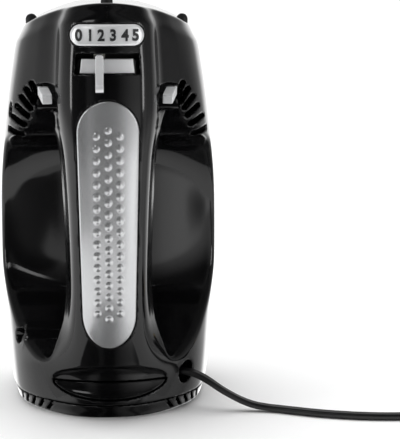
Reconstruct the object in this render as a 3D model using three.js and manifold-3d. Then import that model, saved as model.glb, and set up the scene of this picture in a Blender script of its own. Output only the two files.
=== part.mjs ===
// A five-speed hand mixer that stands on its heel, with a retractable mains cord.
// Frame: millimetres, +Z up from the surface it stands on, -Y the handle side, +Y the side
// the beaters plug into, X across. The origin is on the heel's flat underside.
import * as THREE from 'three';
import { mergeVertices } from 'three/addons/utils/BufferGeometryUtils.js';
import Module from 'manifold-3d';

const wasm = await Module();
wasm.setup();

// ---------------------------------------------------------------- driving dimensions
const WALL = 2.4; // housing wall
const GAP = 0.3; // between pieces that touch
const SIDE_Y = 20; // the plane in which the body is widest
const FAR = 200; // longer than anything it cuts
const HEEL_CAP_TOP = 6.2;
const BEVEL_Z = 175.2; // lower edge of the nose bevel on the centre line
const NOSE_Z = 182; // highest point of the nose
const NOSE_DROOP = 0.0075; // the nose face falls by this times x squared
const DROOP_FROM = 120; // the droop fades in from this height
const BACK_POWER = 2.35; // squareness of the underside
const MOTOR_FRONT = -2; // front of the motor body in the finger gap
const MOTOR_POWER = 2.15;
const HANDLE_BACK = -33; // finger side of the handle

// The outer envelope at each height: the right half of its outline, front to back, passes
// through the front, the column's edge, the valley beside it, the wing's shoulder, its
// corner, the widest point at SIDE_Y and the back.
const STATIONS = [
  { z: 0, front: -45.7, column: [12, -44], valley: [21, -38.8], shoulder: [31.4, -27.5], corner: [39.6, -12], side: 43, back: 57 },
  { z: 6.2, front: -49.3, column: [13.3, -46.9], valley: [23.8, -39.8], shoulder: [33.4, -30.5], corner: [41.4, -15.5], side: 44.8, back: 60 },
  { z: 24, front: -54, column: [14, -51], valley: [25.5, -42.6], shoulder: [35, -33.2], corner: [43, -16.5], side: 46.8, back: 62 },
  { z: 31, front: -56.6, column: [14.4, -53.2], valley: [24.6, -43.4], shoulder: [34.8, -33.2], corner: [43.2, -16.5], side: 47.4, back: 62.4 },
  { z: 38, front: -59, column: [14.6, -55.4], valley: [22.2, -44.6], shoulder: [34, -32.5], corner: [43.4, -16], side: 48, back: 62.8 },
  { z: 46, front: -61, column: [14.6, -57.4], valley: [19.9, -45.8], shoulder: [33.5, -31.5], corner: [43.8, -15], side: 48.8, back: 63.2 },
  { z: 62, front: -63.4, column: [14.4, -59.6], valley: [18.7, -46], shoulder: [33.5, -31], corner: [44.5, -14], side: 50, back: 63.8 },
  { z: 90, front: -65.2, column: [14.8, -61.4], valley: [19.4, -46], shoulder: [33.5, -31], corner: [44.8, -14], side: 49.8, back: 64 },
  { z: 115, front: -65.4, column: [15.8, -61.6], valley: [20.8, -46], shoulder: [33.8, -31.5], corner: [44.2, -15], side: 48.6, back: 64 },
  { z: 138, front: -64, column: [17.2, -60], valley: [23.8, -45], shoulder: [33.4, -33], corner: [42.6, -16.5], side: 46.4, back: 64 },
  { z: 152, front: -61.8, column: [17.4, -57.8], valley: [23.4, -42.8], shoulder: [32.2, -32], corner: [41.2, -16], side: 44.8, back: 63.6 },
  { z: 164, front: -59.6, column: [17.2, -55.4], valley: [22.8, -40.8], shoulder: [31.2, -30.8], corner: [39.8, -15], side: 43.2, back: 63 },
  { z: BEVEL_Z, front: -56.4, column: [16.8, -52.2], valley: [22.2, -38.6], shoulder: [30, -29.4], corner: [38.2, -14], side: 41.4, back: 62 },
  { z: NOSE_Z, front: -52, column: [14.6, -48.2], valley: [20, -35.2], shoulder: [27.2, -26.2], corner: [34.6, -12], side: 37.6, back: 58 },
];
// Heights at which the faceted envelope has a ring of vertices.
const HOUSING_RINGS = [6.5, 15, 24, 31, 38, 46, 62, 90, 115, 138, 152, 164, BEVEL_Z, NOSE_Z];
const NOSE_CAP_RINGS = [0.6, 0.25]; // shares of the outline, towards the middle of the nose face
const NOSE_MIDDLE_Y = 5;
const MOTOR_RINGS = [12, 38, 50, 64, 90, 115, 138, 160];
const HANDLE_RINGS = [16, 31, 38, 46, 62, 90, 115, 138, 148];
const OUTLINE_STEPS = 2; // facets between two of the outline's points

// The opening between handle and body, seen from the side, as (y, z) points.
const GRIP_OPENING = [
  [-46, 60], [-45.5, 100], [-45, 130], [-40, 137.5], [-33, 136], [-26.5, 129], [-20.5, 123.5],
  [-13, 121], [-6, 118], [0, 111], [6, 101], [9, 89], [8, 76], [5, 62], [-3, 51.5], [-14, 43],
  [-25, 34.5], [-34, 28.5], [-39, 25], [-43, 29], [-45.4, 42],
];

// ---------------------------------------------------------------- colours
const BLACK_GLOSS = { color: 0x0b0b0c, roughness: 0.12, metalness: 0 };
const BLACK_SATIN = { color: 0x161617, roughness: 0.45, metalness: 0 };
const RUBBER = { color: 0x121213, roughness: 0.7, metalness: 0 };
const SILVER = { color: 0xb9babc, roughness: 0.32, metalness: 0.9 };
const STEEL = { color: 0x9a9c9f, roughness: 0.35, metalness: 0.95 };
const DARK_STEEL = { color: 0x55585c, roughness: 0.5, metalness: 0.9 };
const COPPER = { color: 0xa8592c, roughness: 0.35, metalness: 0.9 };
const BRASS = { color: 0xb4924c, roughness: 0.35, metalness: 0.9 };
const WHITE_NYLON = { color: 0xd8d5cb, roughness: 0.5, metalness: 0 };
const CARBON = { color: 0x2b2b2d, roughness: 0.8, metalness: 0 };

// ---------------------------------------------------------------- solids and meshes
const mixer = new THREE.Group();

function addPart(name, geometry, finish) {
  const mesh = new THREE.Mesh(geometry, new THREE.MeshStandardMaterial(finish));
  mesh.name = name;
  mixer.add(mesh);
  return mesh;
}

// The manifold solid of a closed geometry.
function solid(geometry) {
  const plain = geometry.clone();
  plain.deleteAttribute('normal');
  plain.deleteAttribute('uv');
  const merged = mergeVertices(plain, 1e-4);
  const index = merged.index.array;
  const kept = [];
  for (let i = 0; i < index.length; i += 3) {
    const corners = [index[i], index[i + 1], index[i + 2]];
    if (new Set(corners).size === 3) kept.push(...corners);
  }
  return new wasm.Manifold(new wasm.Mesh({
    numProp: 3,
    vertProperties: new Float32Array(merged.attributes.position.array),
    triVerts: new Uint32Array(kept),
  }));
}

function geometryOf(manifold) {
  const mesh = manifold.getMesh();
  const geometry = new THREE.BufferGeometry();
  geometry.setAttribute('position', new THREE.BufferAttribute(mesh.vertProperties, 3));
  geometry.setIndex(new THREE.BufferAttribute(mesh.triVerts, 1));
  return geometry;
}

const join = (first, ...rest) => rest.reduce((whole, one) => whole.add(one), first);
const cut = (first, ...rest) => rest.reduce((whole, one) => whole.subtract(one), first);

// A box between two opposite corners.
function block(low, high) {
  const size = high.map((v, i) => v - low[i]);
  const geometry = new THREE.BoxGeometry(...size);
  return geometry.translate(...low.map((v, i) => v + size[i] / 2));
}

// A body turned about the Z axis from (radius, z) points. A closed ring repeats its first point.
function turned(profile, segments = 20) {
  const points = profile.map(([r, z]) => new THREE.Vector2(r, z));
  return new THREE.LatheGeometry(points, segments).rotateX(Math.PI / 2);
}

function ring(inner, outer, low, high, segments = 20) {
  return turned([[inner, low], [outer, low], [outer, high], [inner, high], [inner, low]], segments);
}

function disc(radius, low, high, segments = 20) {
  return turned([[0, low], [radius, low], [radius, high], [0, high]], segments);
}

// Turned bodies lie along Z; these lay them along another axis.
const alongY = (geometry) => geometry.rotateX(-Math.PI / 2);
const alongX = (geometry) => geometry.rotateY(Math.PI / 2);

// A plate with an outline in the XZ plane, between two values of y.
function plateXZ(outline, frontY, backY) {
  const shape = new THREE.Shape(outline.map(([x, z]) => new THREE.Vector2(x, z)));
  const settings = { depth: backY - frontY, bevelEnabled: false };
  return new THREE.ExtrudeGeometry(shape, settings).rotateX(Math.PI / 2).translate(0, backY, 0);
}

// A plate with an outline in the YZ plane, between two values of x.
function plateYZ(outline, lowX, highX) {
  const shape = new THREE.Shape(outline.map(([y, z]) => new THREE.Vector2(y, z)));
  const settings = { depth: highX - lowX, bevelEnabled: false };
  const geometry = new THREE.ExtrudeGeometry(shape, settings);
  return geometry.rotateX(Math.PI / 2).rotateZ(Math.PI / 2).translate(lowX, 0, 0);
}

// A plate with an outline in the XY plane, between two heights.
function plateXY(outline, low, high, holes = []) {
  const vectors = (points) => points.map(([x, y]) => new THREE.Vector2(x, y));
  const shape = new THREE.Shape(vectors(outline));
  shape.holes = holes.map((hole) => new THREE.Path(vectors(hole)));
  const settings = { depth: high - low, bevelEnabled: false };
  return new THREE.ExtrudeGeometry(shape, settings).translate(0, 0, low);
}

function move(geometry, vertexMove) {
  const position = geometry.attributes.position;
  for (let i = 0; i < position.count; i += 1) {
    position.setXYZ(i, ...vertexMove(position.getX(i), position.getY(i), position.getZ(i)));
  }
  return geometry;
}

// ---------------------------------------------------------------- the envelope's outlines
// A smooth value at a height, through one number of every station.
function stationValue(z, pick) {
  const n = STATIONS.length;
  const at = (i) => STATIONS[Math.min(Math.max(i, 0), n - 1)];
  let i = 0;
  while (i < n - 2 && z > STATIONS[i + 1].z) i += 1;
  const [a, b] = [at(i), at(i + 1)];
  const slope = (j) => {
    const [before, here, after] = [at(j - 1), at(j), at(j + 1)];
    if (before === here || after === here) return 0;
    const left = (pick(here) - pick(before)) / (here.z - before.z);
    const right = (pick(after) - pick(here)) / (after.z - here.z);
    return left * right <= 0 ? 0 : (2 * left * right) / (left + right);
  };
  const h = b.z - a.z;
  const t = Math.min(Math.max((z - a.z) / h, 0), 1);
  const [m0, m1] = [slope(i) * h, slope(i + 1) * h];
  const t2 = t * t;
  const t3 = t2 * t;
  return (2 * t3 - 3 * t2 + 1) * pick(a) + (t3 - 2 * t2 + t) * m0
    + (-2 * t3 + 3 * t2) * pick(b) + (t3 - t2) * m1;
}

// Points of a quarter of a rounded outline, between its widest point and (0, end).
function quarter(side, end, power, angles) {
  return angles.map((degrees) => {
    const a = THREE.MathUtils.degToRad(degrees);
    return [side * Math.cos(a) ** (2 / power), SIDE_Y + (end - SIDE_Y) * Math.sin(a) ** (2 / power)];
  });
}

// A closed smooth outline through right-half points, with the left half mirrored.
function mirrored(right) {
  const left = right.slice(1, -1).reverse().map(([x, y]) => [-x, y]);
  const points = [...right, ...left].map(([x, y]) => new THREE.Vector3(x, y, 0));
  const curve = new THREE.CatmullRomCurve3(points, true, 'centripetal');
  const count = points.length * OUTLINE_STEPS;
  return Array.from({ length: count }, (_, i) => curve.getPoint(i / count));
}

function envelopeOutline(z) {
  const value = (pick) => stationValue(z, pick);
  const pair = (key) => [value((s) => s[key][0]), value((s) => s[key][1])];
  const side = value((s) => s.side);
  const back = value((s) => s.back);
  return mirrored([
    [0, value((s) => s.front)], pair('column'), pair('valley'), pair('shoulder'), pair('corner'),
    [side, SIDE_Y], ...quarter(side, back, BACK_POWER, [32, 62]), [0, back],
  ]);
}

function motorOutline(z) {
  const side = stationValue(z, (s) => s.side) - 0.5;
  const back = stationValue(z, (s) => s.back) - 0.5;
  return mirrored([
    [0, MOTOR_FRONT], ...quarter(side, MOTOR_FRONT, MOTOR_POWER, [65, 35]),
    [side, SIDE_Y], ...quarter(side, back, BACK_POWER, [32, 62]), [0, back],
  ]);
}

function handleOutline(z) {
  const side = stationValue(z, (s) => s.valley[0]) - 0.3;
  const edge = stationValue(z, (s) => s.valley[1]);
  const depth = HANDLE_BACK - edge;
  return mirrored([
    [0, edge - 3], [side * 0.7, edge - 2.4], [side, edge + 0.4],
    [side * 0.8, edge + depth * 0.66], [side * 0.42, HANDLE_BACK - 0.7], [0, HANDLE_BACK],
  ]);
}

// The outline moved inwards by the same distance all round.
function inset(outline, distance) {
  const n = outline.length;
  return outline.map((p, i) => {
    const along = outline[(i + 1) % n].clone().sub(outline[(i + n - 1) % n]).normalize();
    return new THREE.Vector3(p.x - along.y * distance, p.y + along.x * distance, 0);
  });
}

// A closed body whose rings are the given outlines, each {z, outline}.
function loft(rings) {
  const n = rings[0].outline.length;
  const angle = (i) => (i / n) * 2 * Math.PI;
  const circle = Array.from({ length: n }, (_, i) => new THREE.Vector2(Math.cos(angle(i)), Math.sin(angle(i))));
  const settings = { depth: rings.length - 1, steps: rings.length - 1, bevelEnabled: false };
  const geometry = new THREE.ExtrudeGeometry(new THREE.Shape(circle), settings);
  return move(geometry, (x, y, z) => {
    const around = Math.round(((Math.atan2(y, x) + 2 * Math.PI) / (2 * Math.PI)) * n) % n;
    const at = rings[Math.round(z)];
    const p = at.outline[around];
    return [p.x, p.y, at.z(p.x)];
  });
}

const droop = (z) => NOSE_DROOP * Math.min(Math.max((z - DROOP_FROM) / (BEVEL_Z - DROOP_FROM), 0), 1);
const drooped = (z) => (x) => z - droop(z) * x * x;
const level = (z) => () => z;

// The whole envelope, moved inwards by a wall and lowered at the nose.
function envelope(wall, bottom) {
  const rings = HOUSING_RINGS.map((z, i) => {
    const low = i === 0 ? bottom : z;
    const lowered = z >= BEVEL_Z ? z - wall : low;
    return { z: drooped(lowered), outline: inset(envelopeOutline(z), wall) };
  });
  const nose = rings[rings.length - 1].outline;
  for (const share of NOSE_CAP_RINGS) {
    const outline = nose.map((p) => new THREE.Vector3(
      p.x * share, NOSE_MIDDLE_Y + (p.y - NOSE_MIDDLE_Y) * share, 0));
    rings.push({ z: drooped(NOSE_Z - wall), outline });
  }
  return solid(loft(rings));
}

const motorBody = (wall) => solid(loft(MOTOR_RINGS.map((z, i) => ({
  z: level(i === 0 ? z - wall : z), outline: inset(motorOutline(z), wall) }))));
const handleBody = (wall) => solid(loft(HANDLE_RINGS.map((z) => ({
  z: level(z), outline: inset(handleOutline(z), wall) }))));

function gripOpening(wall) {
  const points = GRIP_OPENING.map(([y, z]) => new THREE.Vector3(y, z, 0));
  const curve = new THREE.CatmullRomCurve3(points, true, 'centripetal');
  const count = points.length;
  const fine = Array.from({ length: count }, (_, i) => curve.getPoint(i / count));
  return solid(plateYZ(inset(fine, wall).map((p) => [p.x, p.y]), -FAR / 2, FAR / 2));
}

// Front surface of the envelope at (x, z).
function frontSurface(x, z) {
  const outline = envelopeOutline(z);
  const reach = Math.abs(x);
  let y = outline[0].y;
  for (let i = 0; outline[i].x <= reach && outline[i + 1].x > outline[i].x; i += 1) {
    const [a, b] = [outline[i], outline[i + 1]];
    const share = Math.min((reach - a.x) / (b.x - a.x), 1);
    y = a.y + (b.y - a.y) * share;
  }
  return y;
}

// A slab that follows the front surface. face and back give (x, z) for u and v from -1 to 1
// on its outer and inner side; it stands proud of the surface and reaches deep below it.
function frontSlab({ face, back = face, proud, deep, across, up }) {
  const geometry = new THREE.BoxGeometry(2, 2, 2, across, 1, up);
  return move(geometry, (u, side, v) => {
    const [x, z] = side < 0 ? face(u, v) : back(u, v);
    return [x, frontSurface(x, z) + (side < 0 ? -proud : deep), z];
  });
}

// ---------------------------------------------------------------- controls on the handle side
const PAD = { top: 141.4, bottom: 34.4, topWidth: 13.2, lowWidth: 11.5, lowCentre: 50 };
const PLATE = { z: 168.8, half: 15.6, radius: 4.45 };
const POCKET = { low: 151.4, high: 161.4, lowHalf: 15.1, highHalf: 14.4, taper: 1.6, depth: 3.4 };
const TRACK = { low: 152.8, high: 158.9, lowHalf: 11.6, highHalf: 10.9, thick: 1 };
const LEVER_X = -3.3; // where the lever rests, between two settings
const LEVER_WIDE = 3.4;
const LEVER_TRAVEL = [-7.9, 14.8];

function padMap(margin) {
  const topCentre = PAD.top - PAD.topWidth;
  return (u, v) => {
    const middle = (PAD.top + PAD.bottom) / 2;
    const z = middle + ((PAD.top - PAD.bottom) / 2 + margin) * Math.sin((v * Math.PI) / 2);
    const slope = (PAD.topWidth - PAD.lowWidth) / (topCentre - PAD.lowCentre);
    let half = PAD.lowWidth + slope * (Math.min(Math.max(z, PAD.lowCentre), topCentre) - PAD.lowCentre);
    if (z > topCentre) half = roundEnd(half, (z - topCentre) / (PAD.topWidth + margin));
    if (z < PAD.lowCentre) half = roundEnd(half, (PAD.lowCentre - z) / (PAD.lowCentre - PAD.bottom + margin));
    return [u * (half + margin), z];
  };
}

const roundEnd = (half, share) => Math.max(half * Math.sqrt(Math.max(1 - share * share, 0)), 1.5);

function plateMap(margin) {
  return (u, v) => {
    const x = (PLATE.half + margin) * Math.sin((u * Math.PI) / 2);
    const beyond = Math.max(Math.abs(x) - (PLATE.half - PLATE.radius), 0);
    const radius = PLATE.radius + margin;
    return [x, PLATE.z + v * Math.max(Math.sqrt(Math.max(radius * radius - beyond * beyond, 0)), 0.8)];
  };
}

const trapezoid = (shape, margin) => (u, v) => {
  const share = (v + 1) / 2;
  const half = shape.lowHalf + (shape.highHalf - shape.lowHalf) * share + margin;
  return [u * half, shape.low - margin + (shape.high - shape.low + 2 * margin) * share];
};

const gripPlate = frontSlab({ face: padMap(0), proud: 0.6, deep: 0.9, across: 6, up: 14 });
const gripRecess = frontSlab({ face: padMap(GAP), proud: 4, deep: 0.9 + GAP, across: 6, up: 14 });
const numberPlate = frontSlab({ face: plateMap(0), proud: 0.7, deep: 0.8, across: 14, up: 2 });
const numberRecess = frontSlab({ face: plateMap(GAP), proud: 4, deep: 0.8 + GAP, across: 14, up: 2 });
const pocketCut = frontSlab({
  face: trapezoid(POCKET, 0), back: trapezoid(POCKET, -POCKET.taper),
  proud: 0.6, deep: POCKET.depth, across: 4, up: 1,
});
const TRACK_BACK = POCKET.depth - 2 * GAP;
const trackPlate = frontSlab({
  face: trapezoid(TRACK, 0), proud: TRACK.thick - TRACK_BACK, deep: TRACK_BACK, across: 6, up: 1,
});

const SLOT_Z = [159.2, 161];
const leverSlot = block([LEVER_X + LEVER_TRAVEL[0] - 1.7, -62, SLOT_Z[0]], [LEVER_X + LEVER_TRAVEL[1] + 1.7, -50, SLOT_Z[1]]);

// The lever: a fin in front of the track that hangs below the pocket, and a stem that
// goes over the track's top edge and through the slot.
const FIN = [
  [-66.7, 145.2], [-63.5, 145.2], [-62.8, 151.2], [-60.3, 152.9], [-59.2, 160.2], [-64.5, 160.4],
];
const fin = plateYZ(FIN, LEVER_X - LEVER_WIDE / 2, LEVER_X + LEVER_WIDE / 2);
const stem = block([LEVER_X - 1.2, -60, SLOT_Z[0] + 0.3], [LEVER_X + 1.2, -53.3, SLOT_Z[1] - 0.3]);
const speedLever = join(solid(fin), solid(stem));

// ---------------------------------------------------------------- housing
const SCREWS = [ // (y, z) of each housing screw, and x of its seat
  { name: 'screw_nose', y: -13, z: 134, seat: -30 },
  { name: 'screw_handle', y: -44, z: 132.4, seat: -11 },
  { name: 'screw_heel', y: -22, z: 32.4, seat: -33.5 },
];
const POST = { radius: 4.4, well: 3.3, shank: 1.75, pilot: 1.45, pilotEnd: 13 };
const CORD_HOLE = { at: [34.4, -32.6, 17.4], radius: 5.6, turn: -41 };
const MOUTH = { z: 17, half: 25.3, rise: 8.2, proud: 0.6, deep: 6, ledge: 16.8, through: 11 };
const DRIVE_X = 21; // beater sockets stand this far from the middle
const DRIVE_Z = 140;
const MOTOR_Y = 31;

// Half-moon below the mouth's ledge, for u and v from -1 to 1.
const halfMoon = (margin) => (u, v) => {
  const x = (MOUTH.half - margin) * Math.sin((u * Math.PI) / 2);
  const fall = (MOUTH.rise - margin) * Math.cos((u * Math.PI) / 2);
  const top = MOUTH.ledge - margin;
  return [x, top - Math.max(fall - margin, 0.5) * (1 - v) / 2];
};

// The mouth is a hollow bent round the front of the heel.
const scoop = (margin) => move(
  new THREE.SphereGeometry(1, 20, 12).rotateX(Math.PI / 2)
    .scale(MOUTH.half + margin, MOUTH.deep, MOUTH.rise + margin),
  (x, y, z) => [x, y + frontSurface(x, MOUTH.z) - MOUTH.proud, z + MOUTH.z]);

// Slots along the wing's lower edge, around the top of the grip opening.
const VENTS = { count: 6, long: 8.4, half: 1.25, first: 66, step: -9.6, from: -62, to: -12 };
const ventLine = new THREE.QuadraticBezierCurve(
  new THREE.Vector2(31.6, 144), new THREE.Vector2(36.8, 138.4), new THREE.Vector2(40.8, 124.4));

function stadium(long, half) {
  const steps = 3;
  const end = (sign, start) => Array.from({ length: steps + 1 }, (_, i) => {
    const a = start + (Math.PI * i) / steps;
    return [sign * (long / 2 - half) + half * Math.cos(a), half * Math.sin(a)];
  });
  return [...end(1, -Math.PI / 2), ...end(-1, Math.PI / 2)];
}

function wingVents(side) {
  return Array.from({ length: VENTS.count }, (_, i) => {
    const middle = ventLine.getPoint(i / (VENTS.count - 1));
    const a = THREE.MathUtils.degToRad(VENTS.first + VENTS.step * i);
    const outline = stadium(VENTS.long, VENTS.half).map(([along, over]) => [
      side * (middle.x + along * Math.cos(a) - over * Math.sin(a)),
      middle.y + along * Math.sin(a) + over * Math.cos(a),
    ]);
    return solid(plateXZ(side > 0 ? outline : outline.reverse(), VENTS.from, VENTS.to));
  });
}

// Openings of the eject tabs, through the front of the wings into the grip opening.
const tabOpening = (side) => {
  const outline = [[30.9, 135], [30.9, 146], [29, 147.2], [26, 147], [23.2, 145.2], [21.9, 142], [21.7, 135]];
  const placed = outline.map(([x, z]) => [side * x, z]);
  return solid(plateXZ(side > 0 ? placed : placed.reverse(), -60, -32.6));
};

const ledgePod = (u, v) => [28 * u, MOUTH.ledge + 0.2 + (v + 1) * 5];

function housing() {
  const opening = gripOpening(0);
  const outer = join(cut(envelope(0, 6.5), opening), motorBody(0), handleBody(0));
  const inner = join(cut(envelope(WALL, 0), gripOpening(WALL)), motorBody(WALL), handleBody(WALL));
  const pods = join(
    solid(block([-17.5, -66, 149.6], [17.5, -55.4, 163.2])),
    solid(frontSlab({ face: ledgePod, proud: 4, deep: 8, across: 8, up: 2 })),
    ...SCREWS.map((s) => solid(alongX(disc(POST.radius, -60, 60, 12)).translate(0, s.y, s.z))),
  );
  const sockets = [-1, 1].map((side) => solid(alongY(disc(7, 45, 80)).translate(side * DRIVE_X, 0, DRIVE_Z)));
  const cordHole = alongX(disc(CORD_HOLE.radius, -9, 14, 16))
    .rotateZ(THREE.MathUtils.degToRad(CORD_HOLE.turn)).translate(...CORD_HOLE.at);
  return cut(
    join(cut(outer, inner), pods.intersect(outer)),
    solid(scoop(0)),
    solid(frontSlab({ face: halfMoon(0), proud: 6, deep: MOUTH.through, across: 12, up: 1 })),
    solid(gripRecess), solid(numberRecess), solid(pocketCut), solid(leverSlot),
    ...SCREWS.map((s) => solid(alongX(disc(POST.well, -70, s.seat, 12)).translate(0, s.y, s.z))),
    ...SCREWS.map((s) => solid(alongX(disc(POST.shank, s.seat - 1, 0, 10)).translate(0, s.y, s.z))),
    ...SCREWS.map((s) => solid(alongX(disc(POST.pilot, -1, POST.pilotEnd, 10)).translate(0, s.y, s.z))),
    ...sockets, solid(cordHole),
    ...wingVents(1), ...wingVents(-1), tabOpening(1), tabOpening(-1),
  );
}

const wholeHousing = housing();
const halfSpace = (side) => solid(block(
  [side < 0 ? -FAR : GAP / 2, -FAR, -FAR], [side < 0 ? -GAP / 2 : FAR, FAR, FAR]));
addPart('housing_left', geometryOf(wholeHousing.intersect(halfSpace(-1))), BLACK_GLOSS);
addPart('housing_right', geometryOf(wholeHousing.intersect(halfSpace(1))), BLACK_GLOSS);

// Heel cap: the chamfered band with its vents, the floor it stands on, and the posts
// that carry the cord reel and its brake.
const HEEL_VENTS = { count: 5, first: 62, step: -7.2, lean: 48, wide: 1.5, long: 9 };
const REEL = { y: 8, low: 9.5, high: 25, flange: 32, drum: 22 };
const BRAKE = { y: -32, pinRadius: 1.5, padX: -11, pushX: 11.6 };

function heelCap() {
  const band = (wall, low, high) => solid(loft([low, high].map((z) => ({
    z: level(z), outline: inset(envelopeOutline(Math.min(Math.max(z, 0), HEEL_CAP_TOP)), wall) }))));
  const vents = [-1, 1].flatMap((side) => Array.from({ length: HEEL_VENTS.count }, (_, i) => {
    const around = THREE.MathUtils.degToRad(HEEL_VENTS.first + HEEL_VENTS.step * i);
    const slot = new THREE.BoxGeometry(HEEL_VENTS.wide, 14, HEEL_VENTS.long)
      .rotateY(THREE.MathUtils.degToRad(side * HEEL_VENTS.lean))
      .translate(0, -45, 3.6)
      .rotateZ(side * around);
    return solid(slot.translate(0, NOSE_MIDDLE_Y, 0));
  }));
  const cup = cut(band(0, 0, HEEL_CAP_TOP), band(WALL, WALL, HEEL_CAP_TOP + 1), ...vents);
  const lip = cut(band(WALL + GAP, WALL - 0.5, 9), band(WALL + GAP + 1.2, WALL - 1, 10),
    solid(block([-28, -60, HEEL_CAP_TOP + GAP], [28, -38, 12])));
  return join(cup, lip,
    solid(disc(BRAKE.pinRadius, 1, 17, 12).translate(0, BRAKE.y, 0)),
    solid(block([-22, -30.6, 1], [-17.6, -29, 16.2])));
}
addPart('heel_cap', geometryOf(heelCap()), BLACK_GLOSS);

// Rubber bumpers on the nose.
const BUMPERS = { left: [-34.2, 4], centre: [0, -36], right: [34.2, 4] };
const noseSkin = envelope(-GAP, 120);
for (const [place, [x, y]] of Object.entries(BUMPERS)) {
  const z = NOSE_Z - NOSE_DROOP * x * x;
  const dome = new THREE.SphereGeometry(2.7, 12, 8).translate(x, y, z);
  addPart(`nose_bumper_${place}`, geometryOf(solid(dome).subtract(noseSkin)), RUBBER);
}

addPart('grip_plate', gripPlate, SILVER);
addPart('number_plate', numberPlate, SILVER);
addPart('speed_track', trackPlate, SILVER);
addPart('speed_lever', geometryOf(speedLever), SILVER);

// ---------------------------------------------------------------- speed switch
addPart('switch_slider', block([LEVER_X - 2.4, -53, 156.5], [LEVER_X + 2.4, -49.4, 162.5]), WHITE_NYLON);
const springLug = solid(block([-3, -41.5, 158.7], [3, -32, 161.5]));
addPart('speed_switch', geometryOf(join(solid(block([-15, -49.1, 153], [15, -41, 165])), springLug)), CARBON);

// ---------------------------------------------------------------- ejector
// Pulling the tabs towards the heel drives the plate and its pins against the beaters' ends.
const YOKE = { low: 143.2, high: 146.6, front: -36, back: -32.5, half: 28.2 };
const EJECTOR = { front: 16.5, back: 19, low: 131, half: 29, pinRadius: 2.2, pinEnd: 24.6 };
const RAMP = { y: 12, z: 140, slope: 4 / 3.5 };
const rampY = (z) => RAMP.y + RAMP.slope * (z - RAMP.z);
const rampZ = (y) => RAMP.z + (y - RAMP.y) / RAMP.slope;

function ejectTab(side) {
  const head = move(new THREE.BoxGeometry(1, 1, 1), (x, y, z) => {
    const back = y > 0;
    return [side * ((back ? 27.9 : 25.6) + x * 4.6), back ? -38.2 : -48, (back ? 144 : 141.1) + z * 4.3];
  });
  const shank = block([side * 27 - 2.2, -39.4, 142.6], [side * 27 + 2.2, -36.3, 146]);
  return join(solid(side > 0 ? head : flipped(head)), solid(shank));
}

// The same surface after mirroring, with its faces turned to point out again.
function flipped(geometry) {
  const index = geometry.index.array;
  for (let i = 0; i < index.length; i += 3) [index[i], index[i + 1]] = [index[i + 1], index[i]];
  return geometry;
}

addPart('eject_tab_left', geometryOf(ejectTab(-1)), SILVER);
addPart('eject_tab_right', geometryOf(ejectTab(1)), SILVER);

const yokeArm = (side) => solid(plateYZ([
  [YOKE.back - 1, YOKE.low], [rampY(YOKE.low) - GAP, YOKE.low],
  [rampY(YOKE.high) - GAP, YOKE.high], [YOKE.back - 1, YOKE.high],
], side * 26 - 2, side * 26 + 2));
const yokeBar = solid(block([-YOKE.half, YOKE.front, YOKE.low], [YOKE.half, YOKE.back, YOKE.high]));
addPart('eject_yoke', geometryOf(join(yokeBar, yokeArm(-1), yokeArm(1))), BLACK_SATIN);

const ejectorPlate = solid(plateYZ([
  [EJECTOR.front, EJECTOR.low], [EJECTOR.back, EJECTOR.low],
  [EJECTOR.back, rampZ(EJECTOR.back)], [EJECTOR.front, rampZ(EJECTOR.front)],
], -EJECTOR.half, EJECTOR.half));
const ejectorPin = (side) => solid(alongY(disc(EJECTOR.pinRadius, EJECTOR.back - 1, EJECTOR.pinEnd, 12))
  .translate(side * DRIVE_X, 0, DRIVE_Z));
addPart('ejector_plate', geometryOf(join(ejectorPlate, ejectorPin(-1), ejectorPin(1))), BLACK_SATIN);

// A compression spring along Z between two heights.
function spring(radius, wire, turns, low, high) {
  const steps = turns * 8;
  const points = Array.from({ length: steps + 1 }, (_, i) => {
    const a = (i / 8) * 2 * Math.PI;
    return new THREE.Vector3(radius * Math.cos(a), radius * Math.sin(a), low + ((high - low) * i) / steps);
  });
  const section = new THREE.Shape(Array.from({ length: 5 }, (_, i) => new THREE.Vector2(
    wire * Math.cos((i * 2 * Math.PI) / 5), wire * Math.sin((i * 2 * Math.PI) / 5))));
  const settings = { steps, extrudePath: new THREE.CatmullRomCurve3(points), bevelEnabled: false };
  return new THREE.ExtrudeGeometry(section, settings);
}
addPart('eject_spring', spring(2.2, 0.35, 3, YOKE.high + 0.7, 158).translate(0, -34.2, 0), STEEL);

// ---------------------------------------------------------------- motor and gears
const SHAFT = { radius: 3, low: 47, high: 152 };
const STACK = [76, 100]; // laminations
const BORE = 14.4;
const onMotor = (geometry) => geometry.translate(0, MOTOR_Y, 0);

function polar(radius, fromDegrees, toDegrees, steps) {
  return Array.from({ length: steps + 1 }, (_, i) => {
    const a = THREE.MathUtils.degToRad(fromDegrees + ((toDegrees - fromDegrees) * i) / steps);
    return [radius * Math.cos(a), radius * Math.sin(a)];
  });
}

// Two-pole laminations: the bore, and a window on each side of each pole for its coil.
function statorCore() {
  const yoke = [[25, -18], [25, 18], [20, 23.4], [-20, 23.4], [-25, 18], [-25, -18], [-20, -23.4], [20, -23.4]];
  const pole = [
    ...polar(BORE, 40, 140, 8), [-13.4, 12.2], [-9.2, 14.9], [-9.2, 19.6], [-20.6, 19.6],
    [-20.6, -19.6], [-9.2, -19.6], [-9.2, -14.9], [-13.4, -12.2],
  ];
  const hole = [...pole, ...pole.map(([x, y]) => [-x, -y])];
  return plateXY(yoke, ...STACK, [hole.reverse()]);
}
addPart('stator_core', onMotor(statorCore()), DARK_STEEL);

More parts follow.
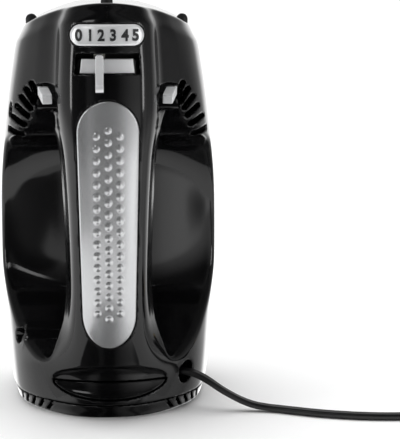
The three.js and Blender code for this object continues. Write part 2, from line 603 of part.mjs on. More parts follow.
function fieldCoil() {
  const frame = (halfX, low, high) => [[-halfX, low], [halfX, low], [halfX, high], [-halfX, high]];
  const outer = solid(plateXZ(frame(15, 69.6, 106.4), 15.4, 19.2));
  return outer.subtract(solid(plateXZ(frame(9.6, 75.4, 100.6), 10, 25)));
}
const coil = geometryOf(fieldCoil());
addPart('field_coil_back', onMotor(coil.clone()), COPPER);
addPart('field_coil_front', onMotor(coil.clone().rotateZ(Math.PI)), COPPER);

addPart('motor_shaft', onMotor(disc(SHAFT.radius, SHAFT.low, SHAFT.high, 12)), STEEL);

// Slotted armature core.
function armatureCore() {
  const slots = 12;
  const outline = Array.from({ length: slots }, (_, i) => {
    const start = (i * 360) / slots;
    return [...polar(13.8, start, start + 22, 2), ...polar(10.4, start + 22.5, start + 29.5, 1)];
  }).flat();
  return plateXY(outline, ...STACK, [polar(SHAFT.radius + 0.3, 360, 0, 12).slice(0, -1)]);
}
addPart('armature_core', onMotor(armatureCore()), DARK_STEEL);
addPart('armature_winding_front', onMotor(ring(3.4, 12.4, 100.3, 106, 16)), COPPER);
addPart('armature_winding_rear', onMotor(ring(3.4, 12.4, 69, 75.7, 16)), COPPER);
addPart('commutator', onMotor(ring(3.4, 9.4, 58, 68.7, 24)), COPPER);

for (const [place, side] of [['left', -1], ['right', 1]]) {
  const along = (near, far, half, low, high) => block(
    [Math.min(side * near, side * far), MOTOR_Y - half, low], [Math.max(side * near, side * far), MOTOR_Y + half, high]);
  addPart(`brush_${place}`, along(9.8, 19, 2.4, 61, 66), CARBON);
  const tube = solid(along(12, 24, 4, 59.2, 67.8)).subtract(solid(along(11, 22.5, 2.7, 60.7, 66.3)));
  addPart(`brush_holder_${place}`, geometryOf(tube), BRASS);
}

function fan() {
  const blade = new THREE.BoxGeometry(11.5, 1, 5).translate(13.6, 0, 111.2);
  const blades = Array.from({ length: 8 }, (_, i) => solid(blade.clone().rotateZ((i * Math.PI) / 4)));
  const plate = turned([[3.4, 107.4], [19.6, 107.4], [19.6, 109], [7, 109], [7, 113.4], [3.4, 113.4], [3.4, 107.4]], 20);
  return join(solid(plate), ...blades);
}
addPart('cooling_fan', onMotor(geometryOf(fan())), BLACK_SATIN);

// A three-start worm with a round-lobed thread.
const WORM = { low: 128, high: 151, core: 3.35, tip: 4.4, starts: 3, lead: 10 };
function worm() {
  const points = 12;
  const steps = 11;
  const outline = Array.from({ length: points }, (_, i) => {
    const a = (i / points) * 2 * Math.PI;
    const radius = (WORM.core + 0.5 + WORM.tip) / 2 + ((WORM.tip - WORM.core - 0.5) / 2) * Math.cos(WORM.starts * a);
    return [radius * Math.cos(a), radius * Math.sin(a)];
  });
  const shape = new THREE.Shape(outline.map(([x, y]) => new THREE.Vector2(x, y)));
  shape.holes = [new THREE.Path(polar(WORM.core - 0.1, 360, 0, 12).slice(0, -1)
    .map(([x, y]) => new THREE.Vector2(x, y)))];
  const settings = { depth: WORM.high - WORM.low, steps, bevelEnabled: false };
  return move(new THREE.ExtrudeGeometry(shape, settings), (x, y, z) => {
    const turn = (2 * Math.PI * z) / WORM.lead;
    const radius = Math.hypot(x, y);
    if (radius < WORM.core) return [x, y, z + WORM.low];
    return [x * Math.cos(turn) - y * Math.sin(turn), x * Math.sin(turn) + y * Math.cos(turn), z + WORM.low];
  });
}
addPart('worm', onMotor(worm()), STEEL);

addPart('rear_bearing', onMotor(ring(3.25, 7, 50.2, 56, 16)), BRASS);
addPart('front_bearing', onMotor(ring(3.25, 6, 115, 121, 16)), BRASS);

const bearingHole = (radius, low, high) => solid(onMotor(disc(radius, low, high, 16)));
const rearBracket = cut(
  solid(block([-33, MOTOR_Y - 20, 51.5], [33, MOTOR_Y + 15, 54.5])),
  bearingHole(7.3, 50, 57),
);
addPart('rear_bracket', geometryOf(rearBracket), STEEL);

const GEAR = { teeth: 30, root: 13.6, tip: 16.3, front: 27, back: 35 };
const SPINDLE = { outer: 5.5, bore: 3.25, front: 25.2, back: 59 };
const FRAME = { front: 37.4, back: 40.4, low: 121.5, high: 157, half: 32 };

function beaterGear() {
  const pitch = 360 / GEAR.teeth;
  const outline = Array.from({ length: GEAR.teeth }, (_, i) => {
    const start = i * pitch;
    return [...polar(GEAR.root, start, start + pitch * 0.3, 1), ...polar(GEAR.tip, start + pitch * 0.48, start + pitch * 0.8, 1)];
  }).flat();
  const bore = polar(SPINDLE.outer + 0.3, 360, 0, 16).slice(0, -1);
  return alongY(plateXY(outline, GEAR.front, GEAR.back, [bore]));
}

const frameHoles = [-1, 1].map((side) => solid(alongY(disc(7.6, 30, 50, 16)).translate(side * DRIVE_X, 0, DRIVE_Z)));
const gearFrame = cut(join(
  solid(block([-FRAME.half, FRAME.front, FRAME.low], [FRAME.half, FRAME.back, FRAME.high])),
  solid(block([-12, 19, 116.5], [12, FRAME.back, 119.5])),
  solid(block([-12, FRAME.front, 116.5], [12, FRAME.back, FRAME.low + 1])),
  solid(block([-9, 23, 152.6], [9, FRAME.back, 155])),
), ...frameHoles, bearingHole(6.3, 114, 122));
addPart('gear_frame', geometryOf(gearFrame), STEEL);

for (const [place, side] of [['left', -1], ['right', 1]]) {
  const placed = (geometry) => geometry.translate(side * DRIVE_X, 0, DRIVE_Z);
  addPart(`beater_gear_${place}`, placed(beaterGear()), WHITE_NYLON);
  addPart(`beater_spindle_${place}`, placed(alongY(ring(SPINDLE.bore, SPINDLE.outer, SPINDLE.front, SPINDLE.back, 16))), STEEL);
  addPart(`spindle_bush_${place}`, placed(alongY(ring(SPINDLE.outer + 0.2, 7.3, 36.6, 41.4, 16))), BRASS);
}

// ---------------------------------------------------------------- cord reel and its brake
const onReel = (geometry) => geometry.translate(0, REEL.y, 0);
const reelProfile = [
  [4.1, REEL.low], [REEL.flange, REEL.low], [REEL.flange, 11], [REEL.drum, 11], [REEL.drum, 23.5],
  [REEL.flange, 23.5], [REEL.flange, REEL.high], [20, REEL.high], [20, 12.5], [7, 12.5],
  [7, REEL.high], [4.1, REEL.high], [4.1, REEL.low],
];
addPart('cord_reel', onReel(turned(reelProfile, 20)), WHITE_NYLON);
addPart('reel_axle', onReel(disc(3.8, WALL + GAP, 27, 12)), STEEL);
addPart('reel_spring', onReel(ring(8, 19, 13, 22, 20)), STEEL);
addPart('cord_on_reel', onReel(ring(REEL.drum + 0.3, 25.2, 13.5, 19, 24)), RUBBER);

const brakeLever = cut(join(
  solid(block([-14, BRAKE.y - 1.5, 12], [14, BRAKE.y + 1.5, 15])),
  solid(disc(3.6, 12, 15, 16).translate(0, BRAKE.y, 0)),
  solid(block([BRAKE.padX - 2, BRAKE.y + 1, 10.4], [BRAKE.padX + 2, -23, 15])),
), solid(disc(BRAKE.pinRadius + 0.4, 5, 20, 12).translate(0, BRAKE.y, 0)));
addPart('brake_lever', geometryOf(brakeLever), BLACK_SATIN);

// The half-moon rewind button fills the mouth below its ledge.
const BUTTON_GAP = 0.4;
const BUTTON_BACK = 7.6; // behind the front surface
const buttonFace = cut(
  solid(frontSlab({ face: halfMoon(BUTTON_GAP), proud: -0.3, deep: BUTTON_BACK, across: 12, up: 1 })),
  solid(scoop(0.6)));
const buttonStem = solid(block([BRAKE.pushX - 1, -45, 12.2], [BRAKE.pushX + 1, -34.1, 14.8]));
addPart('rewind_button', geometryOf(join(buttonFace, buttonStem)), BLACK_GLOSS);
addPart('rewind_spring', alongY(spring(1.9, 0.3, 3, -35.3, -31)).translate(-19.8, 0, 13.8), STEEL);

// ---------------------------------------------------------------- screws
for (const { name, y, z, seat } of SCREWS) {
  const profile = [[0, seat - 2.2], [2.9, seat - 2.2], [2.9, seat - GAP], [1.2, seat - GAP], [1.2, 12], [0, 12]];
  addPart(name, alongX(turned(profile, 12)).translate(0, y, z), STEEL);
}

// ---------------------------------------------------------------- mains cord
// Flat two-core flex: it leaves the hole along its tangent to the reel, falls to the
// surface, runs out to the right and lies in a tied coil with its plug beside it.
const CORD = { wide: 5.2, thick: 2.8 };
const CORD_ROUTE = [ // centre line from the hole to the coil
  [31.6, -31.6, 17.6], [34.4, -32.6, 17.4], [37.4, -33.7, 16.9], [40.6, -34.8, 15.7], [44.4, -35.9, 13.6],
  [49, -36.7, 10.5], [53.6, -37.1, 7.7], [58.4, -37.4, 5.2], [63.6, -37.9, 3.2], [69.4, -38.8, 2.1],
  [75.6, -40.6, 1.7], [83.4, -44.4, 1.7], [92, -48.4, 1.7], [101, -51.5, 1.7], [110.5, -53.9, 1.7],
  [120, -55.2, 1.7], [130, -55.6, 1.7], [140, -54.9, 1.7], [150, -53.3, 1.9],
  [160.4, -51.5, 2.3],
];
const INNER_LEAD = [[2.4, -20.8, 17.6], [14, -25.1, 17.6], [31.2, -31.45, 17.6]];
const COIL = { x: 181, y: -18, inner: 26.4, outer: 31.8, bottom: 1, layers: 5, layer: 2.95 };
const TAIL = [[212.8, 3.4, 13], [212.9, 9.2, 10.2], [213, 14.8, 7.8]];
const PLUG = { x: 213, y: 28, z: 7.4, long: 24, wide: 21, thick: 12.6 };

function flex(points, steps) {
  const octagon = [[-0.5, -0.28], [-0.5, 0.28], [-0.3, 0.5], [0.3, 0.5], [0.5, 0.28], [0.5, -0.28], [0.3, -0.5], [-0.3, -0.5]];
  const section = new THREE.Shape(octagon.map(([a, b]) => new THREE.Vector2(a * CORD.thick, b * CORD.wide)));
  const path = new THREE.CatmullRomCurve3(points.map((p) => new THREE.Vector3(...p)), false, 'centripetal');
  return new THREE.ExtrudeGeometry(section, { steps, extrudePath: path, bevelEnabled: false });
}
addPart('cord_inner_lead', flex(INNER_LEAD, 4), RUBBER);
addPart('cord_lead', flex(CORD_ROUTE, 30), RUBBER);

const coilReach = CORD.wide / 2 + 0.3;
const coilTop = COIL.bottom + COIL.layers * COIL.layer;
addPart('cord_coil', ring(COIL.inner - coilReach, COIL.outer + coilReach, COIL.bottom, coilTop, 32)
  .translate(COIL.x, COIL.y, 0), RUBBER);

function cordTie() {
  const [near, far] = [COIL.inner - coilReach, COIL.outer + coilReach];
  const outside = solid(block([near - 1, -4, 0.1], [far + 1, 4, coilTop + 1]));
  return outside.subtract(solid(block([near - 0.4, -5, 0.7], [far + 0.3, 5, coilTop + 0.3])));
}
addPart('cord_tie', geometryOf(cordTie()).rotateZ(Math.PI / 2).translate(COIL.x, COIL.y, 0), RUBBER);
addPart('cord_tail', flex(TAIL, 4), RUBBER);

const towardsEnd = (geometry) => geometry.translate(PLUG.x, PLUG.y, PLUG.z);
addPart('plug_relief', towardsEnd(alongY(turned([[0, -11.6], [3, -11.6], [4.4, -0.3], [0, -0.3]], 12))), RUBBER);
const plugBody = move(new THREE.BoxGeometry(PLUG.wide, PLUG.long, PLUG.thick, 1, 2, 1), (x, y, z) => {
  const slim = y < -1 ? 0.62 : 1;
  return [x * slim, y + PLUG.long / 2, z * (y < -1 ? 0.8 : 1)];
});
addPart('plug_body', towardsEnd(plugBody), RUBBER);
for (const [place, side] of [['left', -1], ['right', 1]]) {
  addPart(`plug_blade_${place}`, towardsEnd(block(
    [side * 6.35 - 0.75, PLUG.long + GAP, -3.2], [side * 6.35 + 0.75, PLUG.long + 17, 3.2])), BRASS);
}

export default mixer;
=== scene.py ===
# A five-speed hand mixer standing on its heel, with its flat cord led out to the right.
from functools import reduce
from types import SimpleNamespace as Sizes
from math import copysign, cos, exp, pi, radians, sin
import bmesh
import bpy
import numpy as np
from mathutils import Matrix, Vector
from mathutils.geometry import tessellate_polygon


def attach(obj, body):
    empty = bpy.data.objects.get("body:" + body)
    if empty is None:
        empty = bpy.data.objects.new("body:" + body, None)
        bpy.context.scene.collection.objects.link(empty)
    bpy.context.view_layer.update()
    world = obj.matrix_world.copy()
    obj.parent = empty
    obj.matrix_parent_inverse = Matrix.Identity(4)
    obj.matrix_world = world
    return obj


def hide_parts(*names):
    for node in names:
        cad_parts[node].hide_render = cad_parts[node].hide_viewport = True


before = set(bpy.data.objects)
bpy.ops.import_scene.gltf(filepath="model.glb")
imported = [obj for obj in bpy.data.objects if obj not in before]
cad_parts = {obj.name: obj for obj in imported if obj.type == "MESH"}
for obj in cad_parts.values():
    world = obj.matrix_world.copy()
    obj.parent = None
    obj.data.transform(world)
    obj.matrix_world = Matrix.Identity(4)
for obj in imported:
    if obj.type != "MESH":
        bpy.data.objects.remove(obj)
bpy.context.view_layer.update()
MM = 0.001

# ---- camera
LENS_PIXELS, LONG_SIDE_PIXELS, SENSOR_MM = 1664.9, 439.0, 36.0
CAMERA_AIM = (0.04224, 0.0, 0.08125)

scene = bpy.context.scene


def link(name, data):
    thing = bpy.data.objects.new(name, data)
    scene.collection.objects.link(thing)
    return thing


camera_data = bpy.data.cameras.new("camera")
camera_data.sensor_fit = "AUTO"
camera_data.sensor_width = SENSOR_MM
camera_data.lens = LENS_PIXELS * SENSOR_MM / LONG_SIDE_PIXELS
camera_data.clip_start, camera_data.clip_end = 0.01, 20
camera = link("camera", camera_data)
camera.location = (0.0, -0.760, 0.200)
aim = Vector(CAMERA_AIM) - camera.location
camera.rotation_euler = aim.to_track_quat("-Z", "Y").to_euler()
scene.camera = camera

# ---- mains cord
# All lengths are in mm up to the meshes, as in the CAD.
CORD = Sizes(wide=5.2, thick=2.8, squareness=0.62, groove=0.3, groove_wide=0.55)
CORD_ROUTE = [
    [31.6, -31.6, 17.6], [34.4, -32.6, 17.4], [37.4, -33.7, 16.9], [40.6, -34.8, 15.7],
    [44.4, -35.9, 13.6], [49, -36.7, 10.5], [53.6, -37.1, 7.7], [58.4, -37.4, 5.2],
    [63.6, -37.9, 3.2], [69.4, -38.8, 2.1], [75.6, -40.6, 1.7], [83.4, -44.4, 1.7],
    [92, -48.4, 1.7], [101, -51.5, 1.7], [110.5, -53.9, 1.7], [120, -55.2, 1.7],
    [130, -55.6, 1.7], [140, -54.9, 1.7], [150, -53.3, 1.9], [160.4, -51.5, 2.3],
]
COIL = Sizes(x=181, y=-18, bottom=1.0, layer=2.95)
INNER, OUTER = 26.4, 31.8
COIL_PLACES = [  # column's radius and layer of each lap
    (OUTER, 0), (INNER, 0), (INNER, 1), (OUTER, 1), (OUTER, 2), (INNER, 2), (INNER, 3), (OUTER, 3),
    (OUTER, 4),
]
COIL_LAP, COIL_SHIFT, COIL_TOTAL = 310, 45, 2610  # degrees: a lap, the move to the next, them all
COIL_STEP, CORD_STEP = 12.0, 1.5  # degrees between the coil's points, mm between the cord's
TAIL = [[212.8, 3.4, 13], [212.9, 9.2, 10.2], [213, 14.8, 7.8]]


def smooth(t):
    t = min(max(t, 0.0), 1.0)
    return t * t * (3 - 2 * t)


def coil_point(degrees):
    lap = min(int(degrees // COIL_LAP), len(COIL_PLACES) - 1)
    here = COIL_PLACES[lap]
    there = COIL_PLACES[min(lap + 1, len(COIL_PLACES) - 1)]
    t = smooth((degrees - lap * COIL_LAP - (COIL_LAP - COIL_SHIFT)) / COIL_SHIFT)
    radius = here[0] + (there[0] - here[0]) * t
    z = COIL.bottom + COIL.layer * (here[1] + 0.5 + (there[1] - here[1]) * t)
    a = radians(degrees - 90)
    return [COIL.x + radius * cos(a), COIL.y + radius * sin(a), z]


def hermite(t, start, leaving, end, arriving):
    """A cubic between two values with these slopes at its ends."""
    return ((2 * t**3 - 3 * t**2 + 1) * start + (t**3 - 2 * t**2 + t) * leaving
            + (-2 * t**3 + 3 * t**2) * end + (t**3 - t**2) * arriving)


def catmull(points, steps, closed=False):
    """Points of a centripetal Catmull-Rom curve through the given ones."""
    p = np.asarray(points, float)
    if closed:
        around = np.vstack([p[-1], p, p[0], p[1]])
    else:
        around = np.vstack([2 * p[0] - p[1], p, 2 * p[-1] - p[-2]])
    out = []
    for a, b, c, d in zip(around, around[1:], around[2:], around[3:]):
        d0, d1, d2 = (max(np.linalg.norm(q - r) ** 0.5, 1e-6)
                      for q, r in ((a, b), (b, c), (c, d)))
        t1 = ((b - a) / d0 - (c - a) / (d0 + d1) + (c - b) / d1) * d1
        t2 = ((c - b) / d1 - (d - b) / (d1 + d2) + (d - c) / d2) * d1
        out += [hermite(s, b, t1, c, t2) for s in np.arange(steps) / steps]
    if not closed:
        out.append(p[-1])
    return np.array(out)


def evenly(points, step):
    """The same line with points an equal distance apart."""
    p = np.asarray(points, float)
    along = np.concatenate([[0], np.cumsum(np.linalg.norm(np.diff(p, axis=0), axis=1))])
    count = max(int(round(along[-1] / step)), 2)
    at = np.linspace(0, along[-1], count + 1)
    return np.stack([np.interp(at, along, p[:, k]) for k in range(3)], axis=1)


def mesh_piece(name, verts, faces, material, to_metres=MM):
    """A smooth-shaded mesh from plain lists."""
    mesh = bpy.data.meshes.new(name)
    mesh.from_pydata([tuple(float(c) * to_metres for c in v) for v in verts], [],
                     [tuple(map(int, f)) for f in faces])
    mesh.update()
    mesh.polygons.foreach_set("use_smooth", [True] * len(mesh.polygons))
    piece = link(name, mesh)
    mesh.materials.append(material)
    return piece


REPLACED = set()


def declare(piece, body, slot, *nodes):
    """Says the body a piece rides on and the CAD nodes it stands for; its finish's slot is not
    used.
    """
    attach(piece, body)
    if nodes:
        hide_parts(*nodes)
        REPLACED.update(nodes)


def signed_power(value, power):
    return copysign(abs(value) ** power, value)


def tube_faces(rings, count):
    """Quads between rings that have the same number of corners."""
    faces = []
    for i in range(rings - 1):
        here, there = i * count, (i + 1) * count
        for k in range(count):
            q = (k + 1) % count
            faces.append((here + k, here + q, there + q, there + k))
    return faces


def flex_section(count=28):
    """Section of the flat twin flex: two cores with a groove between them on each flat side."""
    points = []
    for i in range(count):
        a = 2 * pi * i / count
        w = CORD.wide / 2 * signed_power(cos(a), CORD.squareness)
        t = CORD.thick / 2 * signed_power(sin(a), CORD.squareness)
        groove = 1 - CORD.groove * exp(-((w / CORD.groove_wide) ** 2))
        points.append((w, t * groove))
    return points


def sweep_flex(name, path, material):
    """The flex along a path, lying flat: its wide side stays level."""
    p = np.asarray(path, float)
    tangent = np.gradient(p, axis=0)
    tangent /= np.linalg.norm(tangent, axis=1)[:, None]
    up = np.array([0, 0, 1.0])
    section = flex_section()
    n = len(section)
    verts = []
    for q, t in zip(p, tangent):
        wide = np.cross(t, up)
        wide /= np.linalg.norm(wide)
        thick = np.cross(wide, t)
        for w, h in section:
            verts.append(q + wide * w + thick * h)
    faces = tube_faces(len(p), n)
    faces.append(tuple(range(n))[::-1])
    faces.append(tuple((len(p) - 1) * n + j for j in range(n)))
    return mesh_piece(name, verts, faces, material)


# ---- materials
WEAR_SCALE, WEAR_DETAIL, GRAIN_DETAIL = 60.0, 4, 6


def put(node, **values):
    """Sets a node's inputs; an underscore stands for a space."""
    for name, value in values.items():
        node.inputs[name.replace("_", " ")].default_value = value


def finish_of(name, colour, roughness, metallic=0.0, vary=0.15, rough_vary=0.05,
              grain=2500.0, bump=0.03, depth=0.0001):
    """A moulded or metal surface: fine grain in its relief, broad wear in its gloss and tone."""
    material = bpy.data.materials.new(name)
    material.use_nodes = True
    nodes, links = material.node_tree.nodes, material.node_tree.links
    shader = nodes["Principled BSDF"]
    put(shader, Metallic=metallic)
    place = nodes.new("ShaderNodeTexCoord")

    def noise(scale, detail):
        node = nodes.new("ShaderNodeTexNoise")
        put(node, Scale=scale, Detail=detail)
        links.new(place.outputs["Object"], node.inputs["Vector"])
        return node

    wear = noise(WEAR_SCALE, WEAR_DETAIL)
    tone = nodes.new("ShaderNodeMix")
    tone.data_type = "RGBA"
    dark = [c * (1 - vary) for c in colour] + [1]
    light = [min(c * (1 + vary), 1) for c in colour] + [1]
    tone.inputs[6].default_value, tone.inputs[7].default_value = dark, light
    links.new(wear.outputs["Fac"], tone.inputs[0])
    links.new(tone.outputs[2], shader.inputs["Base Color"])
    gloss = nodes.new("ShaderNodeMapRange")
    put(gloss, To_Min=max(roughness - rough_vary, 0.01), To_Max=roughness + rough_vary)
    links.new(wear.outputs["Fac"], gloss.inputs["Value"])
    links.new(gloss.outputs["Result"], shader.inputs["Roughness"])
    relief = nodes.new("ShaderNodeBump")
    put(relief, Strength=bump, Distance=depth)
    links.new(noise(grain, GRAIN_DETAIL).outputs["Fac"], relief.inputs["Height"])
    links.new(relief.outputs["Normal"], shader.inputs["Normal"])
    return material


GLOSS_BLACK = finish_of("gloss_black", (0.003, 0.003, 0.0033), 0.1, rough_vary=0.02, grain=900,
                        bump=0.02)
SATIN_BLACK = finish_of("satin_black", (0.012, 0.012, 0.013), 0.42, grain=3000, bump=0.2)
RUBBER = finish_of("rubber", (0.006, 0.006, 0.0065), 0.55, grain=4000, bump=0.35)
SILVER = finish_of("satin_silver", (0.62, 0.625, 0.635), 0.25, metallic=0.8, vary=0.04,
                   grain=5000, bump=0.06, depth=0.00005)
STEEL = finish_of("steel", (0.5, 0.51, 0.52), 0.3, metallic=1, vary=0.06, bump=0.08)
LAMINATION = finish_of("laminations", (0.13, 0.135, 0.145), 0.45, metallic=0.9, vary=0.2)
COPPER = finish_of("copper", (0.6, 0.24, 0.1), 0.3, metallic=1)
BRASS = finish_of("brass", (0.62, 0.46, 0.2), 0.3, metallic=1, vary=0.08)
NYLON = finish_of("nylon", (0.72, 0.7, 0.64), 0.45, vary=0.04)
CARBON = finish_of("carbon", (0.03, 0.03, 0.03), 0.75, grain=5000, bump=0.3)
FLEX = finish_of("flex", (0.005, 0.005, 0.0055), 0.35, rough_vary=0.06, grain=2200, bump=0.25)
TRIM_SILVER = finish_of("trim_silver", (0.85, 0.855, 0.865), 0.3, metallic=0.45, vary=0.04,
                        grain=5000, bump=0.06, depth=0.00005)
DIGIT_SILVER = finish_of("digit_silver", (0.62, 0.625, 0.635), 0.2, metallic=1, vary=0.04,
                         grain=5000, bump=0.1)
# Dark finish for the digits' faces toward the camera: painted shade standing in for the shadows
# round the raised silver digits.
DIGIT_PAINTED_SHADE = finish_of("digit_painted_shade", (0.05, 0.05, 0.052), 0.25, metallic=0.6, vary=0.04,
                       grain=5000, bump=0.1)


# ---- floor and lights
def stage_material(name, grey):
    material = bpy.data.materials.new(name)
    material.use_nodes = True
    shader = material.node_tree.nodes["Principled BSDF"]
    put(shader, Base_Color=(grey, grey, grey, 1), Roughness=0.8, Specular_IOR_Level=0.1)
    return material


FLOOR_WHITE = stage_material("floor_white", 0.95)
FLOOR_GREY = stage_material("floor_grey", 0.66)
PATCH_LIFT = 0.0001


def floor_sheet(name, x, y, z, material):
    """A level sheet between two x and two y, in metres."""
    verts = [(x[0], y[0], z), (x[1], y[0], z), (x[1], y[1], z), (x[0], y[1], z)]
    sheet = mesh_piece(name, verts, [(0, 1, 2, 3)], material, to_metres=1)
    return sheet


# The floor is kept out of the gloss, as dark cards do in a studio. Patches that only the gloss
# sees lie before the grip and the base.
floor_sheet("floor", (-9, 9), (-4, 13), 0.0, FLOOR_WHITE).visible_glossy = False
for name, x, y, material in (("patch_grip", (-0.26, 0.05), (-0.42, -0.24), FLOOR_GREY),
                             ("patch_middle", (-0.035, 0.035), (-0.24, -0.17), FLOOR_GREY),
                             ("patch_left", (-0.4, -0.035), (-0.24, -0.04), FLOOR_WHITE),
                             ("patch_right", (0.035, 0.4), (-0.24, -0.04), FLOOR_WHITE)):
    patch = floor_sheet(name, x, y, PATCH_LIFT, material)
    patch.visible_camera = patch.visible_diffuse = False
    patch.visible_shadow = patch.visible_transmission = False

overhead_data = bpy.data.lights.new("overhead", "SUN")
overhead_data.energy = 3.1
overhead_data.angle = radians(75)
overhead = link("overhead", overhead_data)
overhead.rotation_euler = (radians(-14), radians(-6), 0)
overhead.visible_glossy = False


def panel_light(name, location, target, wide, long, energy):
    """A rectangular light that faces a target."""
    data = bpy.data.lights.new(name, "AREA")
    data.shape = "RECTANGLE"
    data.size, data.size_y = wide, long
    data.energy = energy
    light = link(name, data)
    light.location = location
    facing = Vector(target) - light.location
    light.rotation_euler = facing.to_track_quat("-Z", "Y").to_euler()


panel_light("key_light", (-0.41, -0.71, 0.83), (0, 0, 0.09), 0.3, 0.22, 0.6)
# Two bright strips for the edges beside the handle, by the angle from the camera's side.
STRIP_AWAY, STRIP_HEIGHT = 1.1, 0.5
for name, azimuth, energy in (("strip_left", -59, 1.7), ("strip_right", 56, 1.5)):
    turn = radians(azimuth)
    place = (STRIP_AWAY * sin(turn), -STRIP_AWAY * cos(turn), STRIP_HEIGHT)
    panel_light(name, place, (0, 0, 0.14), 0.14, 0.62, energy)

# A ring of soft panels round the object: brightness by the angle from the camera's side,
# positive to the right, dark behind the camera.
RING = [(-90, 1.5), (-80, 1.5), (-71, 1.6), (-65, 1.4), (-59, 0.2), (-44, 0.15), (-34, 0.1),
        (-24, 0.08), (-20, 0.5), (-15, 0.5), (-10, 0.05), (0, 0.03), (8, 0.08), (17, 0.8),
        (26, 1.4), (36, 1.7), (44, 1.7), (49, 0.9), (54, 0.2), (60, 1.2), (68, 1.5), (76, 1.0),
        (92, 0.9), (115, 0.5), (148, 1.1), (158, 2.5), (202, 2.5), (212, 1.3), (238, 1.2),
        (252, 1.3), (270, 1.5)]
# Its brightness by height: the sine of the angle above the horizon. It falls off overhead.
HEIGHTS = [(-1, 0.12), (-0.8, 0.15), (-0.62, 0.65), (-0.3, 0.7), (-0.2, 0.95), (-0.12, 0.95),
           (-0.03, 0.5), (0.2, 0.36), (0.5, 0.25), (0.8, 0.1)]
BRIGHTEST = 2.6
world = bpy.data.worlds.new("world")
scene.world = world
world.use_nodes = True
nodes, links = world.node_tree.nodes, world.node_tree.links
way = nodes.new("ShaderNodeTexCoord")
around = nodes.new("ShaderNodeTexGradient")
around.gradient_type = "RADIAL"
links.new(way.outputs["Generated"], around.inputs["Vector"])


def grey_ramp(source, places):
    """A ramp of greys from places along 0 to 1."""
    ramp = nodes.new("ShaderNodeValToRGB")
    stops = ramp.color_ramp.elements
    stops.remove(stops[1])
    stops[0].position, stops[0].color = places[0][0], (places[0][1],) * 3 + (1,)
    for place, level in places[1:]:
        stops.new(place).color = (level, level, level, 1)
    links.new(source, ramp.inputs["Fac"])
    return ramp


# The gradient starts a quarter turn before the camera's side.
ramp = grey_ramp(around.outputs["Fac"],
                 [(angle / 360 + 0.25, value / BRIGHTEST) for angle, value in RING])
parts = nodes.new("ShaderNodeSeparateXYZ")
links.new(way.outputs["Generated"], parts.inputs["Vector"])
height = nodes.new("ShaderNodeMapRange")
put(height, From_Min=-1, From_Max=1)
links.new(parts.outputs["Z"], height.inputs["Value"])
fall = grey_ramp(height.outputs["Result"], [((z + 1) / 2, level) for z, level in HEIGHTS])
strength = nodes.new("ShaderNodeMath")
strength.operation = "MULTIPLY"
strength.inputs[1].default_value = BRIGHTEST
links.new(fall.outputs["Color"], strength.inputs[0])
links.new(strength.outputs["Value"], nodes["Background"].inputs["Strength"])
links.new(ramp.outputs["Color"], nodes["Background"].inputs["Color"])
scene.view_settings.view_transform = "Standard"

# ---- the body's shape
# The same stations as the CAD: outline points at each height, front to back, right half.
SIDE_Y = 20.0
HEEL_CAP_TOP = 6.2
BEVEL_Z, NOSE_Z = 175.2, 182.0
NOSE_DROOP, DROOP_FROM = 0.0075, 120.0
BACK_POWER, MOTOR_POWER, MOTOR_FRONT, HANDLE_BACK = 2.35, 2.15, -2.0, -33.0
MOTOR_PROUD = 1.5  # the motor's side past the body's, where the body's outline rules
ROUNDING = Sizes(nose=3.0, wall=7.0, opening=4.0)
STATIONS = np.array([  # z, front, column x y, valley x y, shoulder x y, corner x y, side, back
    [0, -45.7, 12, -44, 21, -38.8, 31.4, -27.5, 39.6, -12, 43, 57],
    [6.2, -49.3, 13.3, -46.9, 23.8, -39.8, 33.4, -30.5, 41.4, -15.5, 44.8, 60],
    [24, -54, 14, -51, 25.5, -42.6, 35, -33.2, 43, -16.5, 46.8, 62],
    [31, -56.6, 14.4, -53.2, 24.6, -43.4, 34.8, -33.2, 43.2, -16.5, 47.4, 62.4],
    [38, -59, 14.6, -55.4, 22.2, -44.6, 34, -32.5, 43.4, -16, 48, 62.8],
    [46, -61, 14.6, -57.4, 19.9, -45.8, 33.5, -31.5, 43.8, -15, 48.8, 63.2],
    [62, -63.4, 14.4, -59.6, 18.7, -46, 33.5, -31, 44.5, -14, 50, 63.8],
    [90, -65.2, 14.8, -61.4, 19.4, -46, 33.5, -31, 44.8, -14, 49.8, 64],
    [115, -65.4, 15.8, -61.6, 20.8, -46, 33.8, -31.5, 44.2, -15, 48.6, 64],
    [138, -64, 17.2, -60, 23.8, -45, 33.4, -33, 42.6, -16.5, 46.4, 64],
    [152, -61.8, 17.4, -57.8, 23.4, -42.8, 32.2, -32, 41.2, -16, 44.8, 63.6],
    [164, -59.6, 17.2, -55.4, 22.8, -40.8, 31.2, -30.8, 39.8, -15, 43.2, 63],
    [BEVEL_Z, -56.4, 16.8, -52.2, 22.2, -38.6, 30, -29.4, 38.2, -14, 41.4, 62],
    [NOSE_Z, -52, 14.6, -48.2, 20, -35.2, 27.2, -26.2, 34.6, -12, 37.6, 58],
])
GRIP_OPENING = [  # y, z
    [-46, 60], [-45.5, 100], [-45, 130], [-40, 137.5], [-33, 136], [-26.5, 129], [-20.5, 123.5],
    [-13, 121], [-6, 118], [0, 111], [6, 101], [9, 89], [8, 76], [5, 62], [-3, 51.5], [-14, 43],
    [-25, 34.5], [-34, 28.5], [-39, 25], [-43, 29], [-45.4, 42],
]
OPENING_MIDDLE = (-24.0, 82.0)
TABLE_LOW, TABLE_STEP = -2.0, 0.5
TABLE_Z = np.arange(TABLE_LOW, 190, TABLE_STEP)
HALF_TURN = 240  # table columns from the front round to the back
AROUND_BLUR = 1.6  # in columns
CRISP_FROM, CRISP_OVER = 165.0, 6.0  # the outline isn't softened along z from here up


